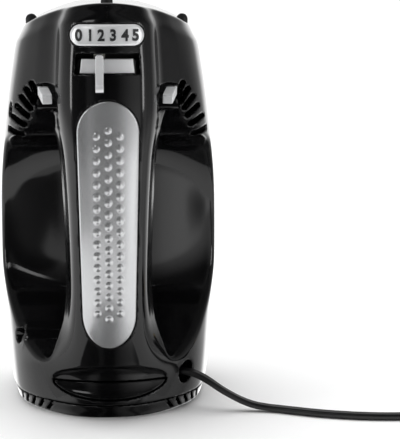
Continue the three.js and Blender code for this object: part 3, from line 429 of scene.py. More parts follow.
def station(z):
    """All of a station's numbers at a height, on a smooth line through every station."""
    zs, values = STATIONS[:, 0], STATIONS[:, 1:]
    step = np.diff(values, axis=0) / np.diff(zs)[:, None]
    slope = np.zeros_like(values)
    left, right = step[:-1], step[1:]
    same = left * right > 0
    slope[1:-1][same] = (2 * left * right / np.where(left + right == 0, 1, left + right))[same]
    z = min(max(z, zs[0]), zs[-1])
    i = min(int(np.searchsorted(zs, z, "right")) - 1, len(zs) - 2)
    h = zs[i + 1] - zs[i]
    t = (z - zs[i]) / h
    return hermite(t, values[i], slope[i] * h, values[i + 1], slope[i + 1] * h)


def quarter(side, end, power, degrees):
    """Points of a quarter superellipse, from the side round to an end."""
    return [[side * cos(a) ** (2 / power), SIDE_Y + (end - SIDE_Y) * sin(a) ** (2 / power)]
            for a in map(radians, degrees)]


def mirrored(right):
    """A closed smooth outline from the points of its right half."""
    left = [[-x, y] for x, y in right[1:-1][::-1]]
    points = np.array([[x, y, 0] for x, y in right + left])
    return catmull(points, 10, closed=True)[:, :2]


def body_outline(z):
    v = station(z)
    return mirrored([[0, v[0]], v[1:3], v[3:5], v[5:7], v[7:9], [v[9], SIDE_Y],
                     *quarter(v[9], v[10], BACK_POWER, [32, 62]), [0, v[10]]])


def motor_outline(z):
    v = station(z)
    side, back = v[9] + MOTOR_PROUD, v[10] + MOTOR_PROUD
    return mirrored([[0, MOTOR_FRONT],
                     *quarter(side, MOTOR_FRONT, MOTOR_POWER, [75, 60, 45, 30, 15]),
                     [side, SIDE_Y], *quarter(side, back, BACK_POWER, [32, 62]), [0, back]])


def handle_outline(z):
    v = station(z)
    side, edge = v[3] - 0.3, v[4]
    depth = HANDLE_BACK - edge
    return mirrored([[0, edge - 3], [side * 0.7, edge - 2.4], [side, edge + 0.4],
                     [side * 0.8, edge + depth * 0.66], [side * 0.42, HANDLE_BACK - 0.7],
                     [0, HANDLE_BACK]])


def radii(a, r, angles):
    """Radii at the given angles, from a closed outline's angles and radii."""
    order = np.argsort(a)
    a, r = a[order], r[order]
    keep = np.concatenate([[True], np.diff(a) > 1e-7])
    a, r = a[keep], r[keep]
    return np.interp(angles, np.concatenate([a - 2 * pi, a, a + 2 * pi]), np.tile(r, 3))


def blur(rows, sigma, axis, mirror):
    """Gaussian smoothing along one axis."""
    reach = int(4 * sigma) + 1
    kernel = np.exp(-0.5 * (np.arange(-reach, reach + 1) / sigma) ** 2)
    kernel /= kernel.sum()
    pad = [(0, 0)] * rows.ndim
    pad[axis] = (reach, reach)
    padded = np.pad(rows, pad, mode="reflect" if mirror else "edge")
    return np.apply_along_axis(lambda line: np.convolve(line, kernel, "valid"), axis, padded)


class Round:
    """A body whose outline at each height is given by its radius about (0, centre)."""

    def __init__(self, outline, centre, soften=2.0):
        self.centre = centre
        angles = np.linspace(0, pi, HALF_TURN + 1)
        rows = []
        for z in TABLE_Z:
            p = outline(z)
            dx, dy = p[:, 0], -(p[:, 1] - centre)
            rows.append(radii(np.arctan2(dx, dy), np.hypot(dx, dy), angles))
        rows = blur(np.array(rows), AROUND_BLUR, 1, True)
        soft = blur(rows, soften / TABLE_STEP, 0, False)
        share = np.clip((TABLE_Z - CRISP_FROM) / CRISP_OVER, 0, 1)[:, None]
        rows = soft * (1 - share) + rows * share
        slope = np.gradient(rows, angles, axis=1) / rows
        self.radius = self.padded(rows)
        self.scale = self.padded(1 / np.sqrt(1 + slope**2))

    @staticmethod
    def padded(rows):
        """A table with a margin all round: the edge rows above and below, mirrored at the sides."""
        wide = np.pad(rows, ((2, 2), (3, 3)), mode="edge")
        wide[:, :3] = wide[:, 6:3:-1]
        wide[:, -3:] = wide[:, -5:-8:-1]
        return wide

    def field(self, x, y, z, fine=True):
        dx, dy = np.abs(x), -(y - self.centre)
        r = np.hypot(dx, dy)
        u = np.arctan2(dx, dy) / pi * HALF_TURN + 3
        v = np.clip((z - TABLE_LOW) / TABLE_STEP, 0, len(TABLE_Z) - 1.001) + 2
        lookup = spline2 if fine else linear2
        return (r - lookup(self.radius, v, u)) * linear2(self.scale, v, u)


def linear2(table, v, u):
    """Straight-line look-up in a table."""
    i, j = v.astype(int), u.astype(int)
    a, b = v - i, u - j
    return ((table[i, j] * (1 - b) + table[i, j + 1] * b) * (1 - a)
            + (table[i + 1, j] * (1 - b) + table[i + 1, j + 1] * b) * a)


def basis(t):
    return ((1 - t) ** 3 / 6, (3 * t**3 - 6 * t**2 + 4) / 6,
            (-3 * t**3 + 3 * t**2 + 3 * t + 1) / 6, t**3 / 6)


def spline2(table, v, u):
    """Cubic B-spline look-up in a table."""
    i, j = v.astype(int), u.astype(int)
    wa, wb = basis(v - i), basis(u - j)
    total = 0
    for p in range(4):
        row = 0
        for q in range(4):
            row = row + table[i + p - 1, j + q - 1] * wb[q]
        total = total + row * wa[p]
    return total


def soft_max(a, b, k):
    """The larger of two, with the corner between them rounded over a width k."""
    h = np.maximum(k - np.abs(a - b), 0) / k
    return np.maximum(a, b) + h * h * h * k / 6


def soft_min(a, b, k):
    return -soft_max(-a, -b, k)


class Opening:
    """The grip opening: a closed outline in the YZ plane, by its radius about its middle."""

    def __init__(self, points, middle):
        self.middle = middle
        p = catmull([[y, z, 0] for y, z in points], 16, closed=True)
        dy, dz = p[:, 0] - middle[0], p[:, 1] - middle[1]
        self.count = 720
        angles = np.linspace(-pi, pi, self.count, endpoint=False)
        radius = radii(np.arctan2(dz, dy), np.hypot(dy, dz), angles)
        margin = 40
        wrapped = np.concatenate([radius[-margin:], radius, radius[:margin]])
        radius = blur(wrapped, 5.0, 0, True)[margin:-margin]
        slope = np.gradient(np.concatenate([radius[-2:], radius, radius[:2]]))[2:-2]
        slope /= 2 * pi / self.count
        scale = 1 / np.sqrt(1 + (slope / radius) ** 2)
        self.radius = np.concatenate([radius[-2:], radius, radius[:3]])[None].repeat(6, 0)
        self.scale = np.concatenate([scale[-2:], scale, scale[:3]])[None].repeat(6, 0)

    def field(self, y, z, fine=True):
        dy, dz = y - self.middle[0], z - self.middle[1]
        u = (np.arctan2(dz, dy) + pi) / (2 * pi) * self.count + 2
        v = np.full_like(u, 2.0)
        r = np.hypot(dy, dz)
        lookup = spline2 if fine else linear2
        return (r - lookup(self.radius, v, u)) * linear2(self.scale, v, u)


BODY = Round(body_outline, 5.0)
MOTOR = Round(motor_outline, 31.0)
HANDLE = Round(handle_outline, -41.0, soften=3.0)
OPENING = Opening(GRIP_OPENING, OPENING_MIDDLE)


def droop_z(x, z):
    """The height before the nose's droop."""
    def fade(h):
        return NOSE_DROOP * np.clip((h - DROOP_FROM) / (BEVEL_Z - DROOP_FROM), 0, 1)

    return z + fade(z + fade(z) * x * x) * x * x


def shell_field(x, y, z, fine=True):
    """The whole outside shape, without its small cuts. Negative inside, in mm."""
    level = droop_z(x, z)
    outside = soft_max(BODY.field(x, y, level, fine), level - NOSE_Z, ROUNDING.nose)
    wall = -OPENING.field(y, z, fine)
    wall = soft_min(wall, MOTOR.field(x, y, z, fine), ROUNDING.wall)
    wall = soft_min(wall, HANDLE.field(x, y, z, fine), ROUNDING.wall)
    return soft_max(outside, wall, ROUNDING.opening)


def front_y(x, z):
    """Front surface of the body at (x, z)."""
    x, z = np.broadcast_arrays(np.asarray(x, float), np.asarray(z, float))
    y = np.full(x.shape, -58.0)
    for _ in range(8):
        f = BODY.field(x, y, droop_z(x, z))
        g = (BODY.field(x, y + 0.05, droop_z(x, z)) - f) / 0.05
        y = y - np.clip(f / np.where(np.abs(g) < 0.2, -0.2, g), -6, 6)
    return y


# ---- the shell with its cuts
MOUTH = Sizes(z=17.0, half=25.3, rise=8.2, proud=0.6, deep=6.0, ledge=16.8)
PAD = Sizes(top=141.4, bottom=34.4, top_wide=13.2, low_wide=11.5, low_centre=50.0)
PLATE = Sizes(z=168.8, half=15.6, radius=4.45)
POCKET = Sizes(low=151.4, high=161.4, low_half=15.1, high_half=14.4, depth=3.4)
TRACK = Sizes(low=152.8, high=158.9, low_half=11.6, high_half=10.9)
LEVER_X, FIN_HALF, STEM_HALF = -3.3, 1.7, 1.2
VENTS = Sizes(count=6, long=8.4, half=1.25, first=66.0, step=-9.6)
VENT_LINE = ((31.6, 144), (36.8, 138.4), (40.8, 124.4))
SCREWS = [  # y, z, well radius, seat x
    (-13.0, 134.0, 3.3, -30.0), (-44.0, 132.4, 3.3, -11.0), (-22.0, 32.4, 3.3, -33.5),
]
SCREW_BOSS = Sizes(radius=4.9, start=-37.5, end=-8.0)
CORD_HOLE = Sizes(at=(34.4, -32.6, 17.4), radius=5.0, turn=-41.0)
SOCKET = Sizes(x=21.0, z=140.0, radius=7.0, start=40.0)
HEEL_VENTS = Sizes(count=5, first=62.0, step=-7.2, lean=48.0, wide=1.5, through=3.6, z=3.4,
                   half=2.2, deep=2.2)
PLATE_GAP, PLATE_RECESS = 0.25, 1.4
ROOMS = [  # the lever's slot and the slider's room: middle and half of the x, y and z sides
    ((0.15, 13.1), (-71.0, 20.0), (160.1, 1.0)), ((0.15, 14.7), (-51.1, 2.3), (159.5, 3.7)),
]
BUTTON_WELL, BUTTON_THICK = 12.5, 8.0
TAB_HOLE = Sizes(outer=30.9, inner=21.9, lean=0.12, lean_z=139.0, x=26.4, squeeze=0.9, z=140.6,
                 radius=6.7, low=136.2, back=-33.0)

MOUTH_XS = np.linspace(0, 30, 121)
MOUTH_YS = front_y(MOUTH_XS, np.full(121, MOUTH.z))


def mouth_bend(x):
    return np.interp(np.abs(x), MOUTH_XS, MOUTH_YS)


def oval(*parts):
    """Distance from an ellipse or ellipsoid, from pairs of offset and half size."""
    r = np.sqrt(sum((away / half) ** 2 for away, half in parts))
    slope = np.sqrt(sum((away / half**2) ** 2 for away, half in parts))
    return r * (r - 1) / np.maximum(slope, 1e-4)


def scoop_field(x, y, z, grow=0.0):
    """The mouth's hollow, bent round the front of the heel."""
    return oval((x, MOUTH.half + grow), (y - mouth_bend(x) + MOUTH.proud, MOUTH.deep + grow),
                (z - MOUTH.z, MOUTH.rise + grow))


def moon_field(x, z, margin):
    """The half-moon of the rewind button, below the mouth's ledge."""
    up = z - MOUTH.ledge
    return soft_max(oval((x, MOUTH.half - margin), (up, MOUTH.rise - margin)), up + margin, 0.6)


PAD_CENTRE = PAD.top - PAD.top_wide
PAD_SLOPE = (PAD.top_wide - PAD.low_wide) / (PAD_CENTRE - PAD.low_centre)


def pad_taper(z):
    """Half the grip plate's width between its round ends."""
    up = np.clip(z, PAD.low_centre, PAD_CENTRE) - PAD.low_centre
    return PAD.low_wide + PAD_SLOPE * up


def pad_half(z):
    up = np.clip((z - PAD_CENTRE) / PAD.top_wide, 0, 1)
    down = np.clip((PAD.low_centre - z) / (PAD.low_centre - PAD.bottom), 0, 1)
    return pad_taper(z) * np.sqrt(1 - up**2) * np.sqrt(1 - down**2)


def pad_field(x, z):
    """Distance from the grip plate's outline, in the XZ plane."""
    above = np.hypot(x, z - PAD_CENTRE) - PAD.top_wide
    tall = (PAD.low_centre - PAD.bottom) / PAD.low_wide
    below = np.hypot(x, (z - PAD.low_centre) / tall) - PAD.low_wide
    side = np.abs(x) - pad_taper(z)
    return np.where(z > PAD_CENTRE, above, np.where(z < PAD.low_centre, below, side))


def capsule_field(x, z):
    reach = PLATE.half - PLATE.radius
    return np.hypot(np.maximum(np.abs(x) - reach, 0), z - PLATE.z) - PLATE.radius


def slot_field(x, z, middle, degrees, long, half):
    a = radians(degrees)
    along = (x - middle[0]) * cos(a) + (z - middle[1]) * sin(a)
    over = -(x - middle[0]) * sin(a) + (z - middle[1]) * cos(a)
    return np.hypot(np.maximum(np.abs(along) - (long / 2 - half), 0), over) - half


def vent_places():
    (ax, az), (bx, bz), (cx, cz) = VENT_LINE
    for i in range(VENTS.count):
        t = i / (VENTS.count - 1)
        x = (1 - t) ** 2 * ax + 2 * t * (1 - t) * bx + t * t * cx
        z = (1 - t) ** 2 * az + 2 * t * (1 - t) * bz + t * t * cz
        yield (x, z), VENTS.first + VENTS.step * i


def cord_axis(x, y, z):
    """Distance along and from the cord hole's axis."""
    a = radians(CORD_HOLE.turn)
    dx, dy, dz = (c - o for c, o in zip((x, y, z), CORD_HOLE.at))
    along = dx * cos(a) + dy * sin(a)
    side = -dx * sin(a) + dy * cos(a)
    return along, np.hypot(side, dz)


FRONT_STEP, FRONT_LOW = 0.5, 28.0
FRONT_XS = np.arange(0, 34.5, FRONT_STEP)
FRONT_ZS = np.arange(FRONT_LOW, 182.5, FRONT_STEP)
FRONT_YS = front_y(*np.meshgrid(FRONT_XS, FRONT_ZS, indexing="ij"))


def depth_below(x, y, z):
    """How far behind the front surface a point lies, for the shallow recesses."""
    u = np.clip(np.abs(x) / FRONT_STEP, 0, len(FRONT_XS) - 1.01)
    v = np.clip((z - FRONT_LOW) / FRONT_STEP, 0, len(FRONT_ZS) - 1.01)
    return y - linear2(FRONT_YS, u, v)


def carve(f, cutter, k):
    return soft_max(f, -cutter, k)


def largest(*fields):
    """The part of space that all the fields share."""
    return reduce(np.maximum, fields)


def band(value, middle, half):
    return np.abs(value - middle) - half


def housing_field(x, y, z, side, fine=True):
    """One half of the shell; side is -1 for the left and 1 for the right."""
    f = shell_field(x, y, z, fine)
    below = depth_below(x, y, z)
    # recesses round the plates, and the speed lever's pocket
    for outline in (pad_field(x, z), capsule_field(x, z)):
        f = carve(f, np.maximum(outline - PLATE_GAP, below - PLATE_RECESS), 0.4)
    low, high = POCKET.low, POCKET.high
    share = np.clip((z - low) / (high - low), 0, 1)
    half = POCKET.low_half + (POCKET.high_half - POCKET.low_half) * share
    slant = 0.5 * (below - POCKET.depth)
    rim = soft_max(np.abs(x) - half - slant * 0.9,
                   band(z, (low + high) / 2, (high - low) / 2) - slant * 0.8, 0.8)
    f = carve(f, soft_max(rim, below - POCKET.depth, 0.6), 1.0)
    for sides in ROOMS:
        f = carve(f, largest(*(band(at, *side) for at, side in zip((x, y, z), sides))), 0.3)
    # mouth and the half-moon behind the button
    f = carve(f, scoop_field(x, y, z), 1.6)
    f = carve(f, np.maximum(moon_field(x, z, 0.0), y - mouth_bend(x) - BUTTON_WELL), 0.7)
    # vents along the wing's edge, and the eject tab's opening
    ax = np.abs(x)
    for middle, degrees in vent_places():
        slot = slot_field(ax, z, middle, degrees, VENTS.long, VENTS.half)
        f = carve(f, largest(slot, y + 12, -70 - y), 0.9)
    lean = TAB_HOLE.lean * (z - TAB_HOLE.lean_z)
    bow = np.hypot((ax - TAB_HOLE.x) * TAB_HOLE.squeeze, z - TAB_HOLE.z) - TAB_HOLE.radius
    tab = largest(ax - TAB_HOLE.outer, TAB_HOLE.inner - ax + lean, bow,
                  TAB_HOLE.low - z, y - TAB_HOLE.back)
    f = carve(f, tab, 1.0)
    socket = np.hypot(ax - SOCKET.x, z - SOCKET.z) - SOCKET.radius
    f = carve(f, np.maximum(socket, SOCKET.start - y), 1.2)
    if side < 0:
        boss = np.hypot(y - SCREWS[2][0], z - SCREWS[2][1]) - SCREW_BOSS.radius
        f = soft_min(f, largest(boss, SCREW_BOSS.start - x, x - SCREW_BOSS.end), 3.0)
        for at_y, at_z, radius, seat in SCREWS:
            well = np.hypot(y - at_y, z - at_z) - radius
            f = carve(f, np.maximum(well, x - seat - 1), 1.0)
    else:
        along, away = cord_axis(x, y, z)
        bell = CORD_HOLE.radius + 0.055 * np.clip(along + 2, 0, 8) ** 2
        f = carve(f, np.maximum(away - bell, -8 - along), 1.4)
    return soft_max(f, HEEL_CAP_TOP + 0.3 - z, 0.8)


def heel_field(x, y, z, fine=True):
    """The heel cap: the chamfered band with slanted vents, flat underneath."""
    f = BODY.field(x, y, z, fine)
    back = y - BODY.centre
    angle = np.arctan2(x, -back)
    lean = radians(HEEL_VENTS.lean)
    for side in (-1, 1):
        for i in range(HEEL_VENTS.count):
            turn = radians(HEEL_VENTS.first + HEEL_VENTS.step * i)
            # sideways from the vent's middle, and how far it is round the heel
            across = x * cos(turn) * side + back * sin(turn)
            rise = (z - HEEL_VENTS.through) * sin(lean)
            slot = np.abs(across * cos(lean) + rise) - HEEL_VENTS.wide / 2
            slot = np.maximum(slot, 0.3 - np.cos(angle * side - turn) * 10)
            slot = np.maximum(slot, band(z, HEEL_VENTS.z, HEEL_VENTS.half))
            f = carve(f, np.maximum(slot, -f - HEEL_VENTS.deep), 0.6)
    return soft_max(soft_max(f, z - HEEL_CAP_TOP, 0.5), -z, 1.6)


def button_field(x, y, z, fine=True):
    """The rewind button, filling the mouth below its ledge with a small gap round it."""
    f = shell_field(x, y, z, fine) + 0.3
    f = carve(f, scoop_field(x, y, z, 0.6), 0.5)
    f = soft_max(f, moon_field(x, z, 0.55), 0.9)
    return soft_max(f, y - mouth_bend(x) - BUTTON_THICK, 0.6)


def surface(field, low, high, step, cut=None):
    """Vertices and quads of a field's zero surface on a grid, set on the surface exactly.

    With cut = (side, x), the grid ends in a column of cells at that plane, whose vertices are put
    on it.
    """
    axes = [np.arange(a, b + step, step) for a, b in zip(low, high)]
    if cut:
        side, plane = cut
        reach = abs((low if side < 0 else high)[0])
        axes[0] = np.sort(plane - side * step / 2 + side * step * np.arange(int(reach / step) + 2))
    x, y, z = np.meshgrid(*axes, indexing="ij")
    values = field(x.ravel(), y.ravel(), z.ravel(), False).reshape(x.shape)
    inside = values < 0
    n = np.array(values.shape) - 1
    corners = [(i, j, k) for i in (0, 1) for j in (0, 1) for k in (0, 1)]

    def shifted(array, corner):
        return array[tuple(slice(c, c + m) for c, m in zip(corner, n))]

    count = sum(shifted(inside, c).astype(np.int8) for c in corners)
    active = (count > 0) & (count < 8)
    cells = np.argwhere(active)
    number = -np.ones(active.shape, int)
    number[tuple(cells.T)] = np.arange(len(cells))
    total, weight = np.zeros((len(cells), 3)), np.zeros(len(cells))
    for a in corners:
        for axis in range(3):
            if a[axis]:
                continue
            b = list(a)
            b[axis] = 1
            va, vb = (values[tuple((cells + end).T)] for end in (a, b))
            crosses = (va < 0) != (vb < 0)
            t = np.where(crosses, va / np.where(va == vb, 1, va - vb), 0)
            point = np.array(a, float)[None].repeat(len(cells), 0)
            point[:, axis] += t
            total += point * crosses[:, None]
            weight += crosses
    verts = (cells + total / weight[:, None]) * step + np.array([a[0] for a in axes])
    quads = []
    for axis, (one, two) in enumerate(((1, 2), (2, 0), (0, 1))):
        first, second = [slice(None)] * 3, [slice(None)] * 3
        first[axis], second[axis] = slice(0, -1), slice(1, None)
        a, b = inside[tuple(first)], inside[tuple(second)]
        for flip in (False, True):
            edges = np.argwhere((a & ~b) if not flip else (~a & b))
            edges = edges[(edges[:, one] > 0) & (edges[:, two] > 0)
                          & (edges[:, one] < n[one]) & (edges[:, two] < n[two])]
            ring = []
            for s, t in ((0, 0), (1, 0), (1, 1), (0, 1)):
                cell = edges.copy()
                cell[:, one] -= 1 - s
                cell[:, two] -= 1 - t
                ring.append(number[tuple(cell.T)])
            quad = np.stack(ring, axis=1)
            quads.append(quad[:, ::-1] if flip else quad)
    quads = np.concatenate(quads)
    quads = quads[(quads >= 0).all(axis=1)]
    on_plane = np.zeros(len(verts), bool)
    if cut:
        on_plane = cells[:, 0] == (n[0] - 1 if side < 0 else 0)
        verts[on_plane, 0] = plane
        quads = quads[~on_plane[quads].all(axis=1)]
    for _ in range(3):
        f, g = value_and_slope(field, verts)
        g[on_plane, 0] = 0
        steep = np.maximum((g**2).sum(1), 0.04)
        verts = verts - g * np.clip(f / steep, -0.5, 0.5)[:, None]
    used, quads = np.unique(quads, return_inverse=True)
    return verts[used], quads.reshape(-1, 4), on_plane[used]


def seam_wall(verts, quads, on_plane, side):
    """The flat wall that closes a cut surface, with its own vertices, found from the open edges."""
    edge_next = {}
    for a, b in zip(quads.ravel(), np.roll(quads, -1, axis=1).ravel()):
        if on_plane[a] and on_plane[b]:
            edge_next.setdefault(int(b), int(a))
    loops, left = [], set(edge_next)
    while left:
        at = next(iter(left))
        loop = []
        while at in left:
            left.discard(at)
            loop.append(at)
            at = edge_next[at]
        if len(loop) > 5:
            loops.append(loop)
    loops.sort(key=lambda loop: -np.ptp(verts[loop][:, 2]))
    order = np.concatenate(loops)
    triangles = np.array(tessellate_polygon(
        [[Vector((verts[i][1], verts[i][2], 0)) for i in loop] for loop in loops]))
    p = verts[order][triangles]
    turn = np.cross(p[:, 1] - p[:, 0], p[:, 2] - p[:, 0])[:, 0]
    wrong = turn * side > 0
    triangles[wrong] = triangles[wrong][:, ::-1]
    return verts[order], triangles[np.abs(turn) > 1e-9]


def value_and_slope(field, p, h=0.12):
    """A field and its gradient at points."""
    f = field(*p.T)
    g = np.zeros_like(p)
    for k in range(3):
        q, r = p.copy(), p.copy()
        q[:, k] += h
        r[:, k] -= h
        g[:, k] = (field(*q.T) - field(*r.T)) / (2 * h)
    g[(g**2).sum(1) < 1e-4] = (0, 0, 1)
    return f, g


def field_piece(name, field, low, high, step, material, cut=None):
    """A mesh of a field's surface, with normals taken from the field."""
    verts, quads, on_plane = surface(field, low, high, step, cut)
    _, g = value_and_slope(field, verts)
    normals = g / np.linalg.norm(g, axis=1)[:, None]
    corners = quads.ravel()
    corner_normals = normals[corners]
    starts = np.arange(0, quads.size, 4)
    if cut:
        wall, triangles = seam_wall(verts, quads, on_plane, cut[0])
        starts = np.concatenate([starts, quads.size + np.arange(0, triangles.size, 3)])
        corners = np.concatenate([corners, triangles.ravel() + len(verts)])
        flat = np.tile([-float(cut[0]), 0.0, 0.0], (triangles.size, 1))
        corner_normals = np.concatenate([corner_normals, flat])
        verts = np.concatenate([verts, wall])
    mesh = bpy.data.meshes.new(name)
    mesh.vertices.add(len(verts))
    mesh.vertices.foreach_set("co", (verts * MM).ravel())
    mesh.loops.add(len(corners))
    mesh.loops.foreach_set("vertex_index", corners.astype(np.int32))
    mesh.polygons.add(len(starts))
    mesh.polygons.foreach_set("loop_start", starts.astype(np.int32))
    mesh.polygons.foreach_set("use_smooth", np.ones(len(starts), bool))
    mesh.update(calc_edges=True)
    mesh.normals_split_custom_set([tuple(v) for v in corner_normals.tolist()])
    mesh.materials.append(material)
    return link(name, mesh)


GRID = 0.8
SEAM = 0.002
for side, place in ((-1, "left"), (1, "right")):
    shell = field_piece(
        f"shell_{place}", lambda x, y, z, fine=True, s=side: housing_field(x, y, z, s, fine),
        (-52, -67, 5), (52, 66, 184), GRID, GLOSS_BLACK, (side, side * SEAM))
    declare(shell, "body", "gloss_black_shell", f"housing_{place}")
heel = field_piece("heel", heel_field, (-47, -51, -1), (47, 62, 7.5), 0.6, GLOSS_BLACK)
declare(heel, "body", "gloss_black_shell", "heel_cap")
button = field_piece("cord_button", button_field, (-26, -55, 7.5), (26, -34, 18), 0.45,
                     GLOSS_BLACK)
declare(button, "rewind", "gloss_black_shell", "rewind_button")


# ---- silver plates
def draped(name, across, up, place, stand, material, skirt=2.2):
    """A plate on the front surface: a grid at place(u, v), proud of it by stand(x, z, edge)."""
    us, vs = np.linspace(-1, 1, across + 1), np.linspace(-1, 1, up + 1)
    u, v = np.meshgrid(us, vs, indexing="ij")
    x, z, edge = place(u, v)
    y = front_y(x, z)
    out = stand(x, z, edge)
    verts = np.stack([x, y - out, z], axis=-1).reshape(-1, 3)
    n, m = across + 1, up + 1
    faces = [(i * m + j, (i + 1) * m + j, (i + 1) * m + j + 1, i * m + j + 1)
             for i in range(across) for j in range(up)]
    ring = ([i * m for i in range(n)] + [(n - 1) * m + j for j in range(1, m)]
            + [i * m + m - 1 for i in range(n - 2, -1, -1)] + [j for j in range(m - 2, 0, -1)])
    base = len(verts)
    back = verts[ring].copy()
    back[:, 1] = y.reshape(-1)[ring] + skirt
    verts = np.vstack([verts, back])
    count = len(ring)
    faces += [(ring[(k + 1) % count], ring[k], base + k, base + (k + 1) % count)
              for k in range(count)]
    faces.append(tuple(base + k for k in range(count))[::-1])
    return mesh_piece(name, verts, faces, material)


def rounded(edge, height, radius):
    """Height of a plate whose rim is rounded, from the distance to its edge."""
    t = np.clip(1 - edge / radius, 0, 1)
    return height - radius * (1 - np.sqrt(1 - t * t)) * 0.9


BEAD_PITCH, BEAD_X, BEAD_RADIUS, BEAD_RISE = 5.1, 4.95, 1.65, 0.45
BEADS = ([(0.0, 129.4 - BEAD_PITCH * i) for i in range(17)]
         + [(s * BEAD_X, 126.9 - BEAD_PITCH * i) for s in (-1, 1) for i in range(16)])
NEARLY = 0.9999  # keeps a plate's rim off the very end of its outline


def beads(x, z):
    """Low domes on the grip plate."""
    total = np.zeros_like(x)
    for bx, bz in BEADS:
        near = np.abs(z - bz) < 2.6
        r = np.hypot(x[near] - bx, z[near] - bz)
        total[near] += BEAD_RISE * np.clip(1 - (r / BEAD_RADIUS) ** 2, 0, 1)
    return total


def pad_place(u, v):
    middle, reach = (PAD.top + PAD.bottom) / 2, (PAD.top - PAD.bottom) / 2
    z = middle + reach * np.sin(v * pi / 2 * NEARLY)
    x = u * np.maximum(pad_half(z), 0.15)
    return x, z, np.maximum(-pad_field(x, z), 0)


pad = draped("grip_pad", 110, 420, pad_place,
             lambda x, z, e: rounded(e, 0.65, 0.7) + beads(x, z) * (e > 0.8), SILVER)
declare(pad, "body", "silver_trim", "grip_plate")


def plate_place(u, v):
    x = PLATE.half * np.sin(u * pi / 2 * NEARLY)
    beyond = np.maximum(np.abs(x) - (PLATE.half - PLATE.radius), 0)
    reach = np.sqrt(np.maximum(PLATE.radius**2 - beyond**2, 0.01))
    z = PLATE.z + reach * np.sin(v * pi / 2 * NEARLY)
    return x, z, np.maximum(-capsule_field(x, z), 0)


dial = draped("number_dial", 150, 50, plate_place, lambda x, z, e: rounded(e, 1.0, 1.1),
              TRIM_SILVER)
declare(dial, "body", "silver_trim", "number_plate")

# Raised digits, bent round the plate. Their places run from left to right.
DIGIT_XS = (-11.9, -7.05, -2.5, 2.5, 7.55, 12.0)
DIGIT_SIZE, DIGIT_NARROW, DIGIT_STAND = 6.4, 0.92, 0.85
for value, at_x in enumerate(DIGIT_XS):
    curve = bpy.data.curves.new(f"digit_{value}", "FONT")
    curve.body = str(value)
    curve.size = DIGIT_SIZE
    curve.extrude, curve.offset = 0.5, 0.12
    curve.bevel_depth, curve.bevel_resolution = 0.2, 2
    curve.align_x = curve.align_y = "CENTER"
    holder = link("holder", curve)
    bpy.context.view_layer.update()
    final = holder.evaluated_get(bpy.context.evaluated_depsgraph_get())
    raised = bpy.data.meshes.new_from_object(final)
    bpy.data.objects.remove(holder)
    co = np.empty(len(raised.vertices) * 3)
    raised.vertices.foreach_get("co", co)
    # The faces toward the camera take the dark finish, painted shade for the digits' shadows; the
    # sides keep the silver.
    shade_painted_faces = [polygon.normal.z > 0.9 for polygon in raised.polygons]
    co = co.reshape(-1, 3)
    co[:, :2] -= (co[:, :2].max(axis=0) + co[:, :2].min(axis=0)) / 2
    x, z = co[:, 0] * DIGIT_NARROW + at_x, co[:, 1] + PLATE.z
    y = front_y(x, z) - DIGIT_STAND - co[:, 2]
    raised.vertices.foreach_set("co", (np.stack([x, y, z], axis=1) * MM).ravel())
    raised.update()
    raised.materials.clear()
    for finish in (DIGIT_SILVER, DIGIT_PAINTED_SHADE):
        raised.materials.append(finish)
    for polygon, out in zip(raised.polygons, shade_painted_faces):
        polygon.material_index = int(out)
    declare(link(f"digit_{value}", raised), "body", "silver_trim")


def track_place(u, v):
    """The speed track, a plate at the bottom of the pocket."""
    share = (v + 1) / 2
    half = TRACK.low_half + (TRACK.high_half - TRACK.low_half) * share
    z = TRACK.low + (TRACK.high - TRACK.low) * share
    x = u * half
    edge = np.minimum((1 - np.abs(u)) * half, np.minimum(z - TRACK.low, TRACK.high - z))
    return x, z, np.maximum(edge, 0)


track = draped("track_plate", 90, 28, track_place, lambda x, z, e: rounded(e, -1.8, 0.35),
               TRIM_SILVER, skirt=3.2)
declare(track, "body", "silver_trim", "speed_track")


def bevelled(name, verts, faces, material, width):
    """A faceted form with its edges rounded."""
    piece = mesh_piece(name, verts, faces, material)
    work = bmesh.new()
    work.from_mesh(piece.data)
    bmesh.ops.recalc_face_normals(work, faces=work.faces)
    edges = [e for e in work.edges if len(e.link_faces) == 2 and e.calc_face_angle(0) > 0.3]
    bmesh.ops.bevel(work, geom=edges, offset=width * MM, segments=3, profile=0.6,
                    affect="EDGES", clamp_overlap=True)
    work.to_mesh(piece.data)
    work.free()
    piece.data.polygons.foreach_set("use_smooth", [True] * len(piece.data.polygons))
    weighted = piece.modifiers.new("even", "WEIGHTED_NORMAL")
    weighted.keep_sharp = True
    return piece


def rectangle(low_a, high_a, low_b, high_b):
    return [(low_a, low_b), (high_a, low_b), (high_a, high_b), (low_a, high_b)]


def prism(outline, low, high, axis):
    """Corners and faces of a plate with an outline, between two values along x or y."""
    n = len(outline)
    verts = [(at, a, b) if axis == "x" else (a, at, b) for at in (low, high) for a, b in outline]
    faces = [tuple(range(n)), tuple(range(2 * n - 1, n - 1, -1))]
    faces += [(i, n + i, n + (i + 1) % n, (i + 1) % n) for i in range(n)]
    return verts, faces


# Speed lever: a fin with a stepped foot, hanging in front of the track, on a stem.
FIN = [(-66.7, 146.6), (-66.2, 145.3), (-63.6, 145.3), (-62.9, 151.2), (-60.4, 152.9),
       (-59.3, 160.1), (-64.3, 160.3), (-65.9, 148.4), (-66.6, 148.0)]
STEM = rectangle(-60.2, -53.3, 159.5, 160.7)
lever, stem = (
    bevelled(name, *prism(outline, LEVER_X - half, LEVER_X + half, "x"), TRIM_SILVER, bevel)
    for name, outline, half, bevel in (("lever_fin", FIN, FIN_HALF, 0.28),
                                       ("lever_stem", STEM, STEM_HALF, 0.15)))
declare(lever, "speed_slide", "silver_trim", "speed_lever")
declare(stem, "speed_slide", "silver_trim")

